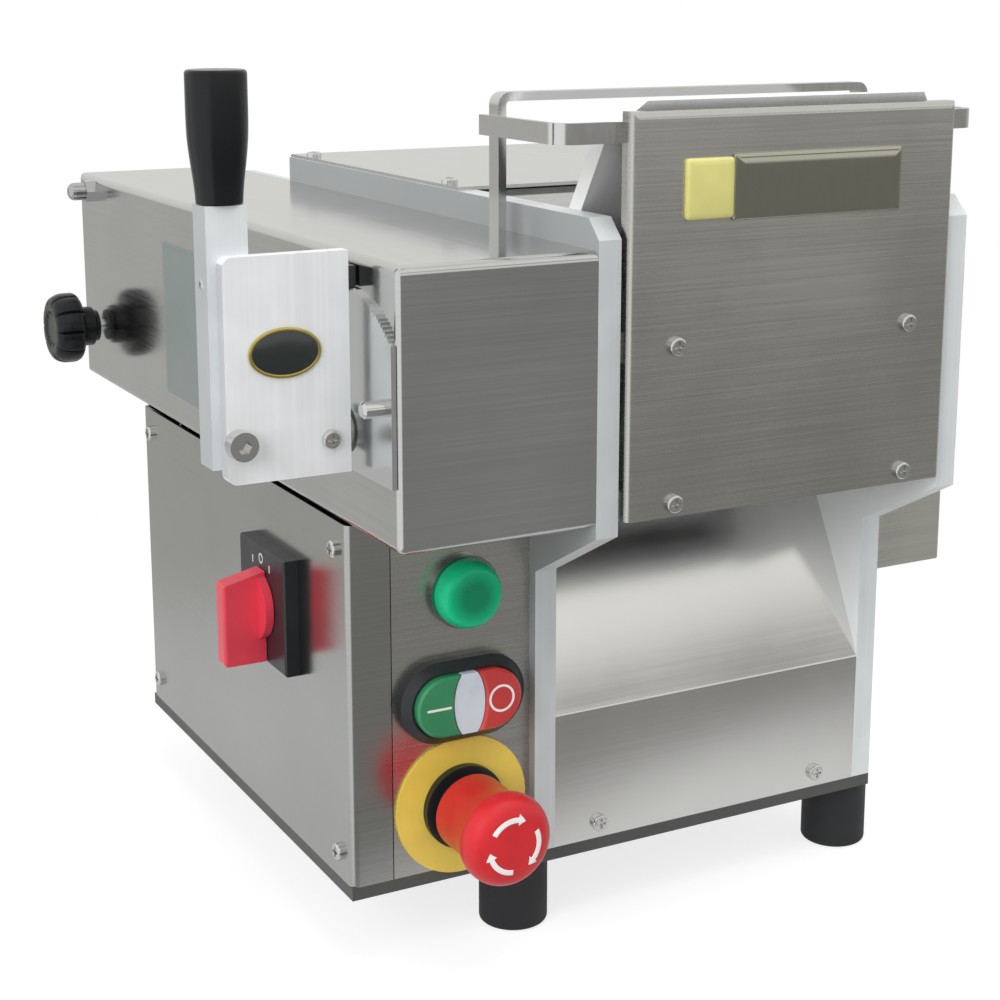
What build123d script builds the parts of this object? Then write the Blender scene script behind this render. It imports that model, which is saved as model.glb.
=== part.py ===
from build123d import *
import math
import os

# Pasta sheeter: two side plates carry a pair of rollers, a hopper above them, a chute below them,
# a gear cover and a control box on the left and a shallow cover on the right.
# X runs to the right, Y to the back and Z up, from the floor. While the pieces are worked out,
# X is 0 at the gear cover's left face and Y is 0 at the control panel's front face.

# Sheet thicknesses, fits and the overrun of every cut
sheet = 1.5
panel_sheet = 2.0
run_fit = 0.05
slide_fit = 0.4
overrun = 1.0

# Feet and base
foot_height = 32.5
foot_radius = 15.0
foot_edge = 2.0
foot_front_y = 14.0
foot_rear_inset = 25.0
base_thick = 5.5
base_top = foot_height + base_thick

# Side plates
plate_thick = 10.0
inner_width = 160.0
plate_left = 84.0
plate_low_front = -5.0
plate_up_front = -53.0
plate_rear = 255.0
plate_top = 314.0
plate_nose_low = 163.0
plate_nose_high = 189.0
plate_front_chamfer = 8.0
plate_ear_inset = 15.0
inner_left = plate_left + plate_thick
inner_right = inner_left + inner_width
plate_right = inner_right + plate_thick
middle_x = (inner_left + inner_right) / 2

# Gear cover, right cover and control box
cover_front = plate_up_front
cover_rear = 347.0
cover_bottom = 193.5
cover_top = 302.0
cover_edge = 3.5
right_cover_edge = 2.0
right_cover_depth = 37.0
right_cover_front = -4.5
right_cover_rear = 240.0
right_cover_bottom = 138.0
right_cover_top = 300.0
right_nose_gap = 2.0
right_nose_play = 0.8
box_inset = 1.5
box_depth = plate_rear
box_top_gap = 1.5
box_corner_strip = 18.5
seam = 0.4
control_flange = 15.0
box_top = cover_bottom - box_top_gap
strip_right = box_inset + box_corner_strip

# Lever pivot, eccentric throw and the angle that the lever turns through
pivot_y = -11.5
pivot_z = 234.5
throw = 4.5
lever_turn = 40.0
stop_spare_turn = 1.0
half_turn = math.radians(lever_turn / 2)

# Rollers, their gears and the drive train
tooth_pressure = math.radians(20.0)
addendum_share = 1.0
dedendum_share = 1.25
flank_steps = 4
backlash = 0.4
roller_module = 3.0
roller_teeth = 18
drive_module = 2.5
driven_teeth = 28
idler_teeth = 28
pinion_teeth = 16
finest_gap = 0.5
roller_end_gap = 3.0
journal_radius = 10.0
journal_overhang = 4.0
gear_fit = 0.02
roller_y = pivot_y + throw * math.sin(half_turn)
roller_z = pivot_z + throw * (1 + math.cos(half_turn)) / 2
roller_pitch = roller_module * roller_teeth
rear_roller_y = roller_y + roller_pitch
roller_radius = (roller_pitch - finest_gap) / 2
idler_y = rear_roller_y + drive_module * (driven_teeth + idler_teeth) / 2
motor_y = idler_y + drive_module * (idler_teeth + pinion_teeth) / 2

# Stations along X inside the gear cover, counted from the left plate's outer face
flange_thick = 5.0
gear_gap = 2.0
roller_gear_width = 16.0
gear_row_gap = 4.0
drive_gear_width = 16.0
roller_gear_right = plate_left - flange_thick - gear_gap
roller_gear_left = roller_gear_right - roller_gear_width
drive_gear_right = roller_gear_left - gear_row_gap
drive_gear_left = drive_gear_right - drive_gear_width

# Bearings, eccentric bushes and the link rod
bearing_radius = 16.0
bearing_play = 0.25
bush_radius = 24.0
bush_flange_radius = 28.0
bearing_flange = 4.0
bearing_flange_rim = 4.0
link_reach = 40.0
link_radius = 4.0
link_lean = 5.0
link_slot_play = 0.4
link_slot_spare_turn = 3.0
lug_rim = 3.0
crank_thick = 8.0

# Idler axle and gear motor
axle_radius = 8.0
axle_flange_radius = 14.0
axle_head_radius = 11.0
axle_head = 4.0
axle_end_play = 0.4
motor_shaft_radius = 7.0
motor_shaft_depth = 10.0
motor_bore_spare = 2.0
shaft_hole_play = 1.0
gearbox_radius = 40.0
gearbox_length = 40.0
motor_radius = 36.0
motor_reach_share = 0.85
motor_length = inner_width * motor_reach_share - gearbox_length
motor_cap_radius = 37.5
motor_cap = 14.0
fin_count = 18
fin_depth = 2.0
fin_width_share = 0.5

# Scrapers under the rollers
scraper_thick = 2.0
scraper_width = 20.0
scraper_gap = 0.45

# Front guard panel and its cross bars
panel_side_gap = 1.5
panel_front = -57.0
panel_bottom = 195.0
panel_rise = 40.0
panel_top = plate_top + panel_rise
panel_flange = 7.0
panel_edge = 3.0
bar_depth = 7.0
bar_height = 12.0
bar_land_inset = 6.0
panel_screw_inset_x = 21.5
panel_screw_low = 200.5
panel_screw_high = 263.5

# Hopper plates and rear table
hopper_thick = 8.0
hopper_front_top_y = -49.5
hopper_front_rise = 3.5
hopper_front_end_y = 4.5
hopper_front_end_rise = 36.0
hopper_front_end_z = pivot_z + hopper_front_end_rise
hopper_corner = 13.0
table_front = 66.0
table_overlap = 9.0
hopper_rear_hem = 12.0
hopper_rear_end_y = 31.0
hopper_rear_end_rise = 40.5
hopper_rear_end_z = pivot_z + hopper_rear_end_rise
hopper_rear_top_set = 4.0
table_screw_shares = (0.085, 0.89)

# Discharge chute and rear panel
chute_bend_z = 97.5
chute_rise = 91.0
chute_run = 47.0
chute_bend = 3.0
chute_screw_inset_x = 22.0
chute_screw_z = 45.0
rear_panel_set = 3.0
vent_count = 9
vent_width = 5.0
vent_height = 60.0
vent_bottom = 190.0
vent_span_share = 0.6

# Guard bar around the panel and guard strip over the feed
guard_left_reach = 16.0
guard_left = plate_left - guard_left_reach
guard_right_reach = 6.0
guard_right = plate_right + guard_right_reach
guard_thick = 3.0
guard_height = 8.0
guard_drop = 12.0
guard_bottom = panel_top - guard_drop
guard_rear = 14.0
guard_bend = 6.0
strip_thick = 3.5
strip_width = 8.0
strip_front = 3.0
strip_rise = 5.0
strip_top = panel_top + strip_rise
strip_bend = 5.0
strip_foot_z = 290.0

# Screws with pan heads
screw_head_radius = 3.7
screw_head_height = 2.4
screw_head_edge = 1.0
screw_radius = 2.0
screw_slot_width = 1.1
screw_slot_depth = 1.0
screw_slot_share = 0.6
box_screw_inset = 12.0

# Thickness lever outside the gear cover
lever_x = -51.0
bar_width = 16.0
lever_bar_depth = 13.0
lever_bar_bottom = 226.0
lever_bar_top = 323.0
spindle_radius = 6.0
spindle_nose_radius = 4.0
hub_left = -22.0
hub_right = -7.0
hub_half_height = 8.5
lever_plate_thick = 6.0
lever_plate_left = -55.5
lever_plate_right = -6.3
lever_plate_bottom = 221.0
lever_plate_top = 305.0
lever_plate_corner = 4.0
cap_head_radius = 5.5
cap_head_height = 6.5
cap_socket_radius = 2.8
cap_socket_depth = 3.0
cap_screw_z = 236.6
lever_screw_x = -14.5
grip_height = 48.0
grip_bottom_radius = 8.6
grip_mid_radius = 11.2
grip_top_radius = 10.8
grip_mid_share = 0.45
grip_edge = 1.5

# Sector plate with its teeth, stop pin, pawl and spindle bush
sector_thick = 2.0
sector_radius = 55.0
sector_front = -51.0
sector_rear = 18.0
sector_bottom = 219.0
sector_tooth_turn = 2.4
sector_tooth_depth = 1.6
sector_tooth_count = 22
pin_radius = 3.3
pin_length = 9.5
pin_rise = 14.5
pin_edge = 1.0
pawl_gap = 0.6
pawl_left = -20.0
pawl_height = 8.0
pawl_cover_gap = 0.8
bush_wall = 3.0
bush_length = 12.0
bush_rim = 3.0

# Studs, acorn nut and clamping knob of the gear cover
stud_radius = 3.0
stud_shoulder_radius = 3.6
nut_rear_inset = 27.0
nut_y = cover_rear - nut_rear_inset
nut_z = cover_top - cover_edge - stud_shoulder_radius
nut_flats = 10.5
nut_hex = 5.5
nut_dome_radius = 4.6
nut_dome = 8.5
stud_in_nut = 5.0
knob_y = 317.0
knob_z = 224.0
knob_radius = 18.5
knob_length = 15.0
knob_hub_radius = 10.4
knob_hub = 10.0
knob_stand = 2.5
knob_flutes = 12
knob_flute_radius = 2.8
knob_edge = 3.0
stud_in_knob = 18.0

# Controls on the control panel
hole_radius = 11.0
barrel_length = 25.0
pilot_x = 52.5
pilot_z = 158.5
pilot_bezel_radius = 15.5
pilot_bezel = 3.0
pilot_lens_radius = 14.3
pilot_lens = 9.0
pilot_lens_edge = 3.5
button_x = 50.5
button_z = 113.4
button_body_width = 57.0
button_body_height = 35.0
button_body_depth = 8.0
button_body_edge = 3.8
button_pocket_rim = 4.2
button_floor = 1.0
button_proud = 3.5
button_travel = 3.0
button_spare = 0.7
button_edge = 1.0
button_lens_width = 14.0
button_lens_overlap = 1.5
button_lens_proud = 2.6
estop_x = 51.3
estop_z = 65.5
disc_radius = 30.0
disc_thick = 1.5
ring_radius = 18.0
ring_front = -5.0
collar_radius = 13.4
collar_front = -13.0
stem_radius = 7.4
stem_play = 0.1
stem_bore_rear = 20.0
stem_rear = 10.0
stem_front = -30.0
estop_travel = 4.0
estop_spare = 0.8
skirt_inner_radius = 14.0
skirt_spare = 1.0
head_neck_radius = 16.5
head_radius = 20.0
head_front = -48.0
head_neck_share = 0.50
head_flare_share = 0.72
head_edge = 5.0

# Rotary main switch on the control box, and the cable gland behind it
switch_y = 77.5
switch_z = 139.0
switch_plate_size = 51.0
switch_plate_depth = 6.5
switch_bevel = 0.8
switch_hole_radius = 9.0
switch_body_size = 42.0
switch_body_depth = 40.0
switch_shaft_radius = 5.0
switch_shaft_depth = 20.0
switch_shaft_spare = 3.0
handle_gap = 0.3
handle_disc_radius = 14.5
handle_disc = 3.5
handle_below = 24.5
handle_above = 16.0
handle_fall = 4.5
handle_thick = 9.5
handle_reach = 15.5
handle_edge = 1.6
gland_x = 50.0
gland_z = 62.0
gland_radius = 8.0
gland_nut_radius = 11.0
gland_nut = 6.0
gland_dome = 12.0
gland_inner = 10.0
gland_bore = 4.0

# Places worked out from the sizes above
box_left = box_inset
box_inner_left = box_left + sheet
lever_bar_front = pivot_y - lever_bar_depth / 2
lever_bar_rear = pivot_y + lever_bar_depth / 2
lever_bar_left = lever_x - bar_width / 2
lever_bar_right = lever_x + bar_width / 2
lever_plate_front = lever_bar_front - lever_plate_thick
grip_top = lever_bar_top + grip_height
right_reach = plate_right + right_cover_depth
left_reach = lever_x - grip_mid_radius
stop_turn = math.radians(lever_turn + stop_spare_turn)
pin_reach = (pivot_y - lever_plate_front + pin_radius) / math.cos(stop_turn) + pin_rise * math.tan(stop_turn)
panel_left = inner_left + panel_side_gap
panel_right = inner_right - panel_side_gap
panel_back = panel_front + panel_sheet
flange_back = panel_front + panel_flange
chute_top_y = plate_low_front + chute_run
chute_top_z = chute_bend_z + chute_rise
switch_face = box_left - switch_plate_depth
collar_rear = -disc_thick
head_rear = ring_front - estop_travel - estop_spare
front_reach = panel_front - screw_head_height
origin = Location((-(left_reach + right_reach) / 2, -(front_reach + cover_rear) / 2, 0))


def block(x, y, z):
    """Box between two limits on each axis."""
    size = Box(x[1] - x[0], y[1] - y[0], z[1] - z[0], align=(Align.MIN, Align.MIN, Align.MIN))
    return Pos(x[0], y[0], z[0]) * size


def slab_x(points, x0, x1):
    """Outline in Y and Z, drawn out along X."""
    face = make_face(Polyline(*points, close=True))
    return extrude(Plane.YZ.offset(x0) * face, amount=x1 - x0)


def slab_y(points, y0, y1):
    """Outline in X and Z, drawn out along Y."""
    face = make_face(Polyline(*points, close=True))
    return extrude(Plane.XZ.offset(-y0) * face, amount=y0 - y1)


def rod_x(y, z, radius, x0, x1):
    """Round bar along X."""
    return extrude(Plane.YZ.offset(x0) * Pos(y, z) * Circle(radius), amount=x1 - x0)


def rod_y(x, z, radius, y0, y1):
    """Round bar along Y."""
    return extrude(Plane.XZ.offset(-y0) * Pos(x, z) * Circle(radius), amount=y0 - y1)


def rod_z(x, y, radius, z0, z1):
    """Round bar along Z."""
    return extrude(Plane.XY.offset(z0) * Pos(x, y) * Circle(radius), amount=z1 - z0)


def turned_y(profile, x, z):
    """Turned piece along Y from (radius, y) points."""
    return Pos(x, 0, z) * revolve(make_face(Polyline(*profile, close=True)), Axis.Y)


def offset_points(points, thick):
    """Second side of a bent strip: each point moved to the left of the line by the thickness."""
    sides = []
    for i in range(len(points) - 1):
        run = Vector(points[i + 1]) - Vector(points[i])
        sides.append(Vector(-run.Y, run.X).normalized())
    moved = [Vector(points[0]) + sides[0] * thick]
    for i in range(1, len(points) - 1):
        mitre = sides[i - 1] + sides[i]
        moved.append(Vector(points[i]) + mitre * (thick / mitre.dot(sides[i])))
    moved.append(Vector(points[-1]) + sides[-1] * thick)
    return [(p.X, p.Y) for p in moved]


def strip_face(points, thick, bend):
    """Face of a bent strip whose inner bends have one radius."""
    other = offset_points(points, thick)
    near = []
    far = []
    for i in range(1, len(points) - 1):
        before = Vector(points[i]) - Vector(points[i - 1])
        after = Vector(points[i + 1]) - Vector(points[i])
        turns_left = before.cross(after).Z > 0
        near.append(bend + thick if turns_left else bend)
        far.append(bend if turns_left else bend + thick)
    lines = Curve() + FilletPolyline(*points, radius=near)
    lines += Line(points[-1], other[-1])
    lines += FilletPolyline(*other[::-1], radius=far[::-1])
    lines += Line(other[0], points[0])
    return make_face(lines)


def gear(teeth, module, y, z, x0, x1, bore, start):
    """Spur gear with involute flanks, thinned by half the backlash."""
    pitch = module * teeth / 2
    base = pitch * math.cos(tooth_pressure)
    tip = pitch + module * addendum_share
    root = pitch - module * dedendum_share
    half = math.pi / (2 * teeth) - backlash / (2 * pitch) + math.tan(tooth_pressure) - tooth_pressure
    low = max(base, root)
    flank = []
    for i in range(flank_steps + 1):
        radius = low + (tip - low) * i / flank_steps
        roll = math.acos(min(base / radius, 1))
        flank.append((radius, half - math.tan(roll) + roll))
    flank.insert(0, (root, flank[0][1]))
    points = []
    for tooth in range(teeth):
        centre = math.radians(start) + tooth * math.tau / teeth
        for radius, angle in flank:
            points.append((radius * math.cos(centre - angle), radius * math.sin(centre - angle)))
        for radius, angle in flank[::-1]:
            points.append((radius * math.cos(centre + angle), radius * math.sin(centre + angle)))
    wheel = Pos(0, y, z) * slab_x(points, x0, x1)
    return wheel - rod_x(y, z, bore, x0 - overrun, x1 + overrun)


def swing(piece, turn):
    """Piece turned about the lever's pivot, in degrees towards the front."""
    return Pos(0, pivot_y, pivot_z) * Rot(turn, 0, 0) * Pos(0, -pivot_y, -pivot_z) * piece


def link_hole(x0, x1):
    """Hole for the link rod at rest."""
    return swing(rod_x(pivot_y, pivot_z + link_reach, link_radius, x0, x1), -link_lean)


def link_arm(x0, x1, half_width):
    """Arm from the pivot to the link rod, with a round end."""
    end = pivot_z + link_reach
    arm = block((x0, x1), (pivot_y - half_width, pivot_y + half_width), (pivot_z, end))
    arm += rod_x(pivot_y, end, half_width, x0, x1)
    return swing(arm, -link_lean)


def pan_screw(place, shank):
    """Pan head screw with a cross recess, head up along Z, with its shank through one sheet."""
    head = rod_z(0, 0, screw_head_radius, 0, screw_head_height)
    head = fillet(head.edges().sort_by(Axis.Z)[-1:], screw_head_edge)
    slot_low = screw_head_height - screw_slot_depth
    long = screw_head_radius * screw_slot_share
    wide = screw_slot_width / 2
    for along, across in ((long, wide), (wide, long)):
        head -= block((-along, along), (-across, across), (slot_low, screw_head_height + overrun))
    return place * (head + rod_z(0, 0, screw_radius, -shank, 0))


def front_place(x, y, z):
    """Place for a screw whose head faces the front."""
    return Pos(x, y, z) * Rot(90, 0, 0)


def panel_screws():
    """Places of the screws in the front guard panel."""
    places = []
    for x in (panel_left + panel_screw_inset_x, panel_right - panel_screw_inset_x):
        for z in (panel_screw_low, panel_screw_high):
            places.append((x, z))
    return places


def box_screws():
    """Places of the screws in the control box side cover."""
    places = []
    for y in (box_screw_inset, box_depth - box_screw_inset):
        for z in (base_top + box_screw_inset, box_top - box_screw_inset):
            places.append((y, z))
    return places


def table_screws():
    """Places of the screws that hold the rear table on the plates' top edges."""
    places = []
    for x in (plate_left + plate_thick / 2, inner_right + plate_thick / 2):
        for share in table_screw_shares:
            places.append((x, table_front + (plate_rear - table_front) * share))
    return places


def chute_screws():
    """Places of the screws in the discharge chute."""
    sides = (inner_left + chute_screw_inset_x, inner_right - chute_screw_inset_x)
    return [(x, chute_screw_z) for x in sides]


def make_side_plate(x0, x1):
    """Side plate outline with the bush and bearing bores and the link rod's curved slot."""
    outline = [
        (plate_low_front, base_top),
        (plate_rear, base_top),
        (plate_rear, plate_top),
        (plate_up_front + plate_front_chamfer, plate_top),
        (plate_up_front, plate_top - plate_front_chamfer),
        (plate_up_front, plate_nose_high),
        (plate_low_front, plate_nose_low),
    ]
    plate = slab_x(outline, x0, x1)
    a, b = x0 - overrun, x1 + overrun
    plate -= rod_x(pivot_y, pivot_z, bush_radius + run_fit, a, b)
    plate -= rod_x(rear_roller_y, roller_z, bearing_radius, a, b)
    start = 90 - link_lean - link_slot_spare_turn
    arc = CenterArc((pivot_y, pivot_z), link_reach, start, lever_turn + 2 * link_slot_spare_turn)
    slot = SlotArc(arc, 2 * (link_radius + link_slot_play))
    plate -= extrude(Plane.YZ.offset(a) * slot, amount=b - a)
    for x, y in table_screws():
        if x0 < x < x1:
            plate -= rod_z(x, y, screw_radius, plate_top - 2 * panel_sheet, plate_top + overrun)
    return plate


def make_left_plate():
    """Left plate, with the motor shaft's hole and an ear that carries the cover's studs."""
    ear_high = (cover_bottom + sheet, cover_top - sheet)
    plate = make_side_plate(plate_left, inner_left)
    plate += block((plate_left, inner_left), (plate_rear, cover_rear - plate_ear_inset), ear_high)
    a, b = plate_left - overrun, inner_left + overrun
    return plate - rod_x(motor_y, roller_z, motor_shaft_radius + shaft_hole_play, a, b)


def make_right_plate():
    """Right plate."""
    return make_side_plate(inner_right, plate_right)


def make_base_plate():
    """Dark base under the plates."""
    return block((plate_left, plate_right), (plate_low_front, plate_rear), (foot_height, base_top))


def make_box_floor():
    """Dark floor of the control box."""
    return block((box_left, plate_left), (0, box_depth), (foot_height, base_top))


def make_rear_panel():
    """Rear panel between the plates, with upright air slots."""
    low_y = plate_rear - rear_panel_set
    panel = block((inner_left, inner_right), (low_y - panel_sheet, low_y), (base_top, plate_top))
    span = inner_width * vent_span_share
    for i in range(vent_count):
        x = middle_x - span / 2 + span * i / (vent_count - 1)
        wide = (x - vent_width / 2, x + vent_width / 2)
        deep = (low_y - panel_sheet - overrun, low_y + overrun)
        panel -= block(wide, deep, (vent_bottom, vent_bottom + vent_height))
    return panel


def make_discharge_chute():
    """Upright front skirt that bends into the steep chute under the rollers."""
    line = [(plate_low_front, base_top), (plate_low_front, chute_bend_z), (chute_top_y, chute_top_z)]
    face = strip_face(line, -panel_sheet, chute_bend)
    chute = extrude(Plane.YZ.offset(inner_left) * face, amount=inner_width)
    for x, z in chute_screws():
        chute -= rod_y(x, z, screw_radius, plate_low_front - overrun, plate_low_front + panel_sheet + overrun)
    return chute


def make_front_panel():
    """Front guard panel with side flanges and a turned top edge."""
    panel = block((panel_left, panel_right), (panel_front, flange_back), (panel_bottom, panel_top))
    front_edges = panel.edges().filter_by(Axis.Z).sort_by(Axis.Y)[:2]
    top_edge = panel.edges().filter_by(Axis.X).group_by(Axis.Z)[-1].sort_by(Axis.Y)[:1]
    panel = fillet(front_edges + top_edge, panel_edge)
    wide = (panel_left + panel_sheet, panel_right - panel_sheet)
    high = (panel_bottom - overrun, panel_top - panel_sheet)
    panel -= block(wide, (panel_back, flange_back + overrun), high)
    for x, z in panel_screws():
        panel -= rod_y(x, z, screw_radius, panel_front - overrun, panel_back + overrun)
    return panel


def make_cross_bars():
    """Two bars between the plates, each with a land that the front panel is screwed to."""
    bars = Part()
    for z in (panel_screw_low, panel_screw_high):
        high = (z - bar_height / 2, z + bar_height / 2)
        bar = block((inner_left, inner_right), (flange_back, flange_back + bar_depth), high)
        land = (inner_left + bar_land_inset, inner_right - bar_land_inset)
        bars += bar + block(land, (panel_back, flange_back), high)
    return bars


def make_hopper_front_plate():
    """Thick front wall of the hopper, leaning in to the rollers, with its top corners cut off."""
    top = panel_top + hopper_front_rise
    run = hopper_front_end_y - hopper_front_top_y
    fall = top - hopper_front_end_z
    slant = math.hypot(run, fall)
    end = (hopper_front_end_y, hopper_front_end_z)
    inner_end = (end[0] + hopper_thick * fall / slant, end[1] + hopper_thick * run / slant)
    inner_top = hopper_front_top_y + hopper_thick * slant / fall
    plate = slab_x([(hopper_front_top_y, top), end, inner_end, (inner_top, top)], inner_left, inner_right)
    deep = (hopper_front_top_y - hopper_corner, inner_top + 2 * hopper_corner)
    for x, side in ((inner_left, 1), (inner_right, -1)):
        corner = [(x - side * overrun, top + overrun), (x - side * overrun, top - hopper_corner)]
        corner += [(x, top - hopper_corner), (x + side * hopper_corner, top)]
        corner += [(x + side * hopper_corner, top + overrun)]
        plate -= slab_y(corner, *deep)
    return plate


def make_hopper_rear_plate():
    """Rear wall of the hopper, hung under the table's front edge."""
    hem_rear = table_front + hopper_rear_top_set + hopper_rear_hem
    line = [
        (hem_rear, plate_top),
        (table_front + hopper_rear_top_set, plate_top),
        (hopper_rear_end_y, hopper_rear_end_z),
    ]
    face = strip_face(line, panel_sheet, chute_bend)
    return extrude(Plane.YZ.offset(inner_left) * face, amount=inner_width)


def make_rear_table():
    """Flat table screwed on the plates' top edges."""
    wide = (inner_left - table_overlap, inner_right + table_overlap)
    table = block(wide, (table_front, plate_rear), (plate_top, plate_top + sheet))
    for x, y in table_screws():
        table -= rod_z(x, y, screw_radius, plate_top - overrun, plate_top + sheet + overrun)
    return table


def make_guard_bar():
    """Flat bar bent round the front of the hopper, standing on edge."""
    line = [
        (guard_left, guard_rear),
        (guard_left, flange_back),
        (guard_right, flange_back),
        (guard_right, guard_rear),
    ]
    face = strip_face(line, guard_thick, guard_bend)
    return extrude(Plane.XY.offset(guard_bottom) * face, amount=guard_height)


def make_guard_strip():
    """Flat strip over the feed: left leg on the gear cover, right leg against the right plate."""
    left = guard_left + guard_thick
    line = [(left, cover_top), (left, strip_top), (inner_right, strip_top), (inner_right, strip_foot_z)]
    face = strip_face(line, -strip_thick, strip_bend)
    return extrude(Plane.XZ.offset(-strip_front) * face, amount=-strip_width)


def bent_block(x, y, z, bend):
    """Box with bends round its left face and along its front face's top and bottom."""
    shell = block(x, y, z)
    left_edges = shell.faces().sort_by(Axis.X)[0].edges()
    front_edges = shell.faces().sort_by(Axis.Y)[0].edges().filter_by(Axis.X)
    return fillet(left_edges + front_edges, bend)


def make_gear_cover():
    """Sheet cover over the gears, open towards the left plate and closed behind it."""
    shell = bent_block((0, plate_left), (cover_front, cover_rear), (cover_bottom, cover_top), cover_edge)
    hollow_y = (cover_front + sheet, cover_rear - sheet)
    hollow_z = (cover_bottom + sheet, cover_top - sheet)
    shell -= bent_block((sheet, plate_left + overrun), hollow_y, hollow_z, cover_edge - sheet)
    shell += block((plate_left - sheet, plate_left), (plate_rear, cover_rear - sheet), hollow_z)
    shell -= rod_x(pivot_y, pivot_z, spindle_radius + bush_wall, -overrun, sheet + overrun)
    for y, z in ((nut_y, nut_z), (knob_y, knob_z)):
        shell -= rod_x(y, z, stud_radius, -overrun, sheet + overrun)
        shell -= rod_x(y, z, stud_shoulder_radius, plate_left - 2 * sheet, plate_left + overrun)
    return shell


def make_right_cover():
    """Right cover: a box behind the plate's lower edge and a shallow nose over the eccentric bush."""
    shell = block(
        (plate_right, right_reach),
        (right_cover_front, right_cover_rear),
        (right_cover_bottom, right_cover_top),
    )
    shell = fillet(shell.faces().sort_by(Axis.X)[-1].edges(), right_cover_edge)
    lug_end = link_radius + lug_rim
    swing_front = link_reach * math.sin(math.radians(lever_turn - link_lean)) + lug_end
    nose_front = pivot_y - max(swing_front, bush_flange_radius) - right_nose_gap
    nose_low = pivot_z - bush_flange_radius - right_nose_gap
    nose_high = pivot_z + link_reach + lug_end + right_nose_gap
    nose_right = plate_right + flange_thick + right_nose_play
    inner_rear = right_cover_rear - sheet
    shell += block(
        (plate_right, nose_right + sheet),
        (nose_front - sheet, right_cover_front + sheet),
        (nose_low - sheet, nose_high + sheet),
    )
    hollow_z = (right_cover_bottom + sheet, right_cover_top - sheet)
    hollow_x = (plate_right - overrun, right_reach - sheet)
    shell -= block(hollow_x, (right_cover_front + sheet, inner_rear), hollow_z)
    return shell - block((plate_right - overrun, nose_right), (nose_front, inner_rear), (nose_low, nose_high))


def make_side_cover():
    """Left wall of the control box, with a corner strip turned in at the front and at the rear."""
    high = (base_top, box_top)
    shell = block((box_left, strip_right), (0, box_depth), high)
    shell = fillet(shell.edges().filter_by(Axis.Z).sort_by(Axis.X)[:2], cover_edge)
    hollow = block(
        (box_inner_left, strip_right + overrun),
        (sheet, box_depth - sheet),
        (base_top - overrun, box_top + overrun),
    )
    shell -= fillet(hollow.edges().filter_by(Axis.Z).sort_by(Axis.X)[:2], cover_edge - sheet)
    for y, z in box_screws():
        shell -= rod_x(y, z, screw_radius, box_left - overrun, box_inner_left + overrun)
    return shell - rod_x(switch_y, switch_z, switch_hole_radius, box_left - overrun, box_inner_left + overrun)


def make_control_panel():
    """Control panel between the corner strip and the left plate, with three round holes."""
    high = (base_top, box_top)
    panel = block((strip_right + seam, plate_left), (0, sheet), high)
    panel += block((plate_left - sheet, plate_left), (0, control_flange), high)
    for x, z in ((pilot_x, pilot_z), (button_x, button_z), (estop_x, estop_z)):
        panel -= rod_y(x, z, hole_radius, -overrun, sheet + overrun)
    return panel


def make_box_rear_panel():
    """Rear wall of the control box, with the cable gland's hole."""
    deep = (box_depth - sheet, box_depth)
    panel = block((strip_right + seam, plate_left), deep, (base_top, box_top))
    return panel - rod_y(gland_x, gland_z, gland_radius, deep[0] - overrun, deep[1] + overrun)


def make_feet():
    """Four rubber feet under the base."""
    feet = Part()
    for x in (plate_left, inner_right + plate_thick / 2):
        for y in (foot_front_y, plate_rear - foot_rear_inset):
            foot = rod_z(x, y, foot_radius, 0, foot_height)
            feet += fillet(foot.edges().filter_by(GeomType.CIRCLE), foot_edge)
    return feet


def make_pan_screws():
    """All the pan head screws of the frame and covers."""
    screws = [pan_screw(front_place(x, panel_front, z), panel_sheet) for x, z in panel_screws()]
    screws += [pan_screw(front_place(x, plate_low_front, z), panel_sheet) for x, z in chute_screws()]
    screws += [pan_screw(Pos(box_left, y, z) * Rot(0, -90, 0), sheet) for y, z in box_screws()]
    screws += [pan_screw(Pos(x, y, plate_top + sheet), sheet + panel_sheet) for x, y in table_screws()]
    return Part() + screws


def make_sector_plate():
    """Toothed sector on the gear cover: notched arc on top, upright front edge, square foot."""
    front_turn = math.asin((pivot_y - sector_front) / sector_radius)
    rear_turn = -math.asin((sector_rear - pivot_y) / sector_radius)
    step = math.radians(sector_tooth_turn)

    def on_arc(turn, radius):
        return (pivot_y - radius * math.sin(turn), pivot_z + radius * math.cos(turn))

    points = [(sector_front, sector_bottom), on_arc(front_turn, sector_radius)]
    turn = front_turn
    for _ in range(sector_tooth_count):
        points.append(on_arc(turn - step / 2, sector_radius - sector_tooth_depth))
        points.append(on_arc(turn - step, sector_radius))
        turn -= step
    lines = Curve() + Polyline(*points)
    lines += ThreePointArc(
        on_arc(turn, sector_radius),
        on_arc((turn + rear_turn) / 2, sector_radius),
        on_arc(rear_turn, sector_radius),
    )
    corners = [(sector_rear, sector_bottom), (sector_front, sector_bottom)]
    lines += Polyline(on_arc(rear_turn, sector_radius), *corners)
    plate = extrude(Plane.YZ.offset(-sector_thick) * make_face(lines), amount=sector_thick)
    return plate - rod_x(pivot_y, pivot_z, spindle_radius + bush_wall, -sector_thick - overrun, overrun)


def make_stop_pin():
    """Pin on the sector that stops the lever at the end of its turn."""
    left = -sector_thick - pin_length
    pin = rod_x(pivot_y - pin_reach, pivot_z + pin_rise, pin_radius, left, -sector_thick)
    return chamfer(pin.edges().filter_by(GeomType.CIRCLE).sort_by(Axis.X)[:1], pin_edge)


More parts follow.
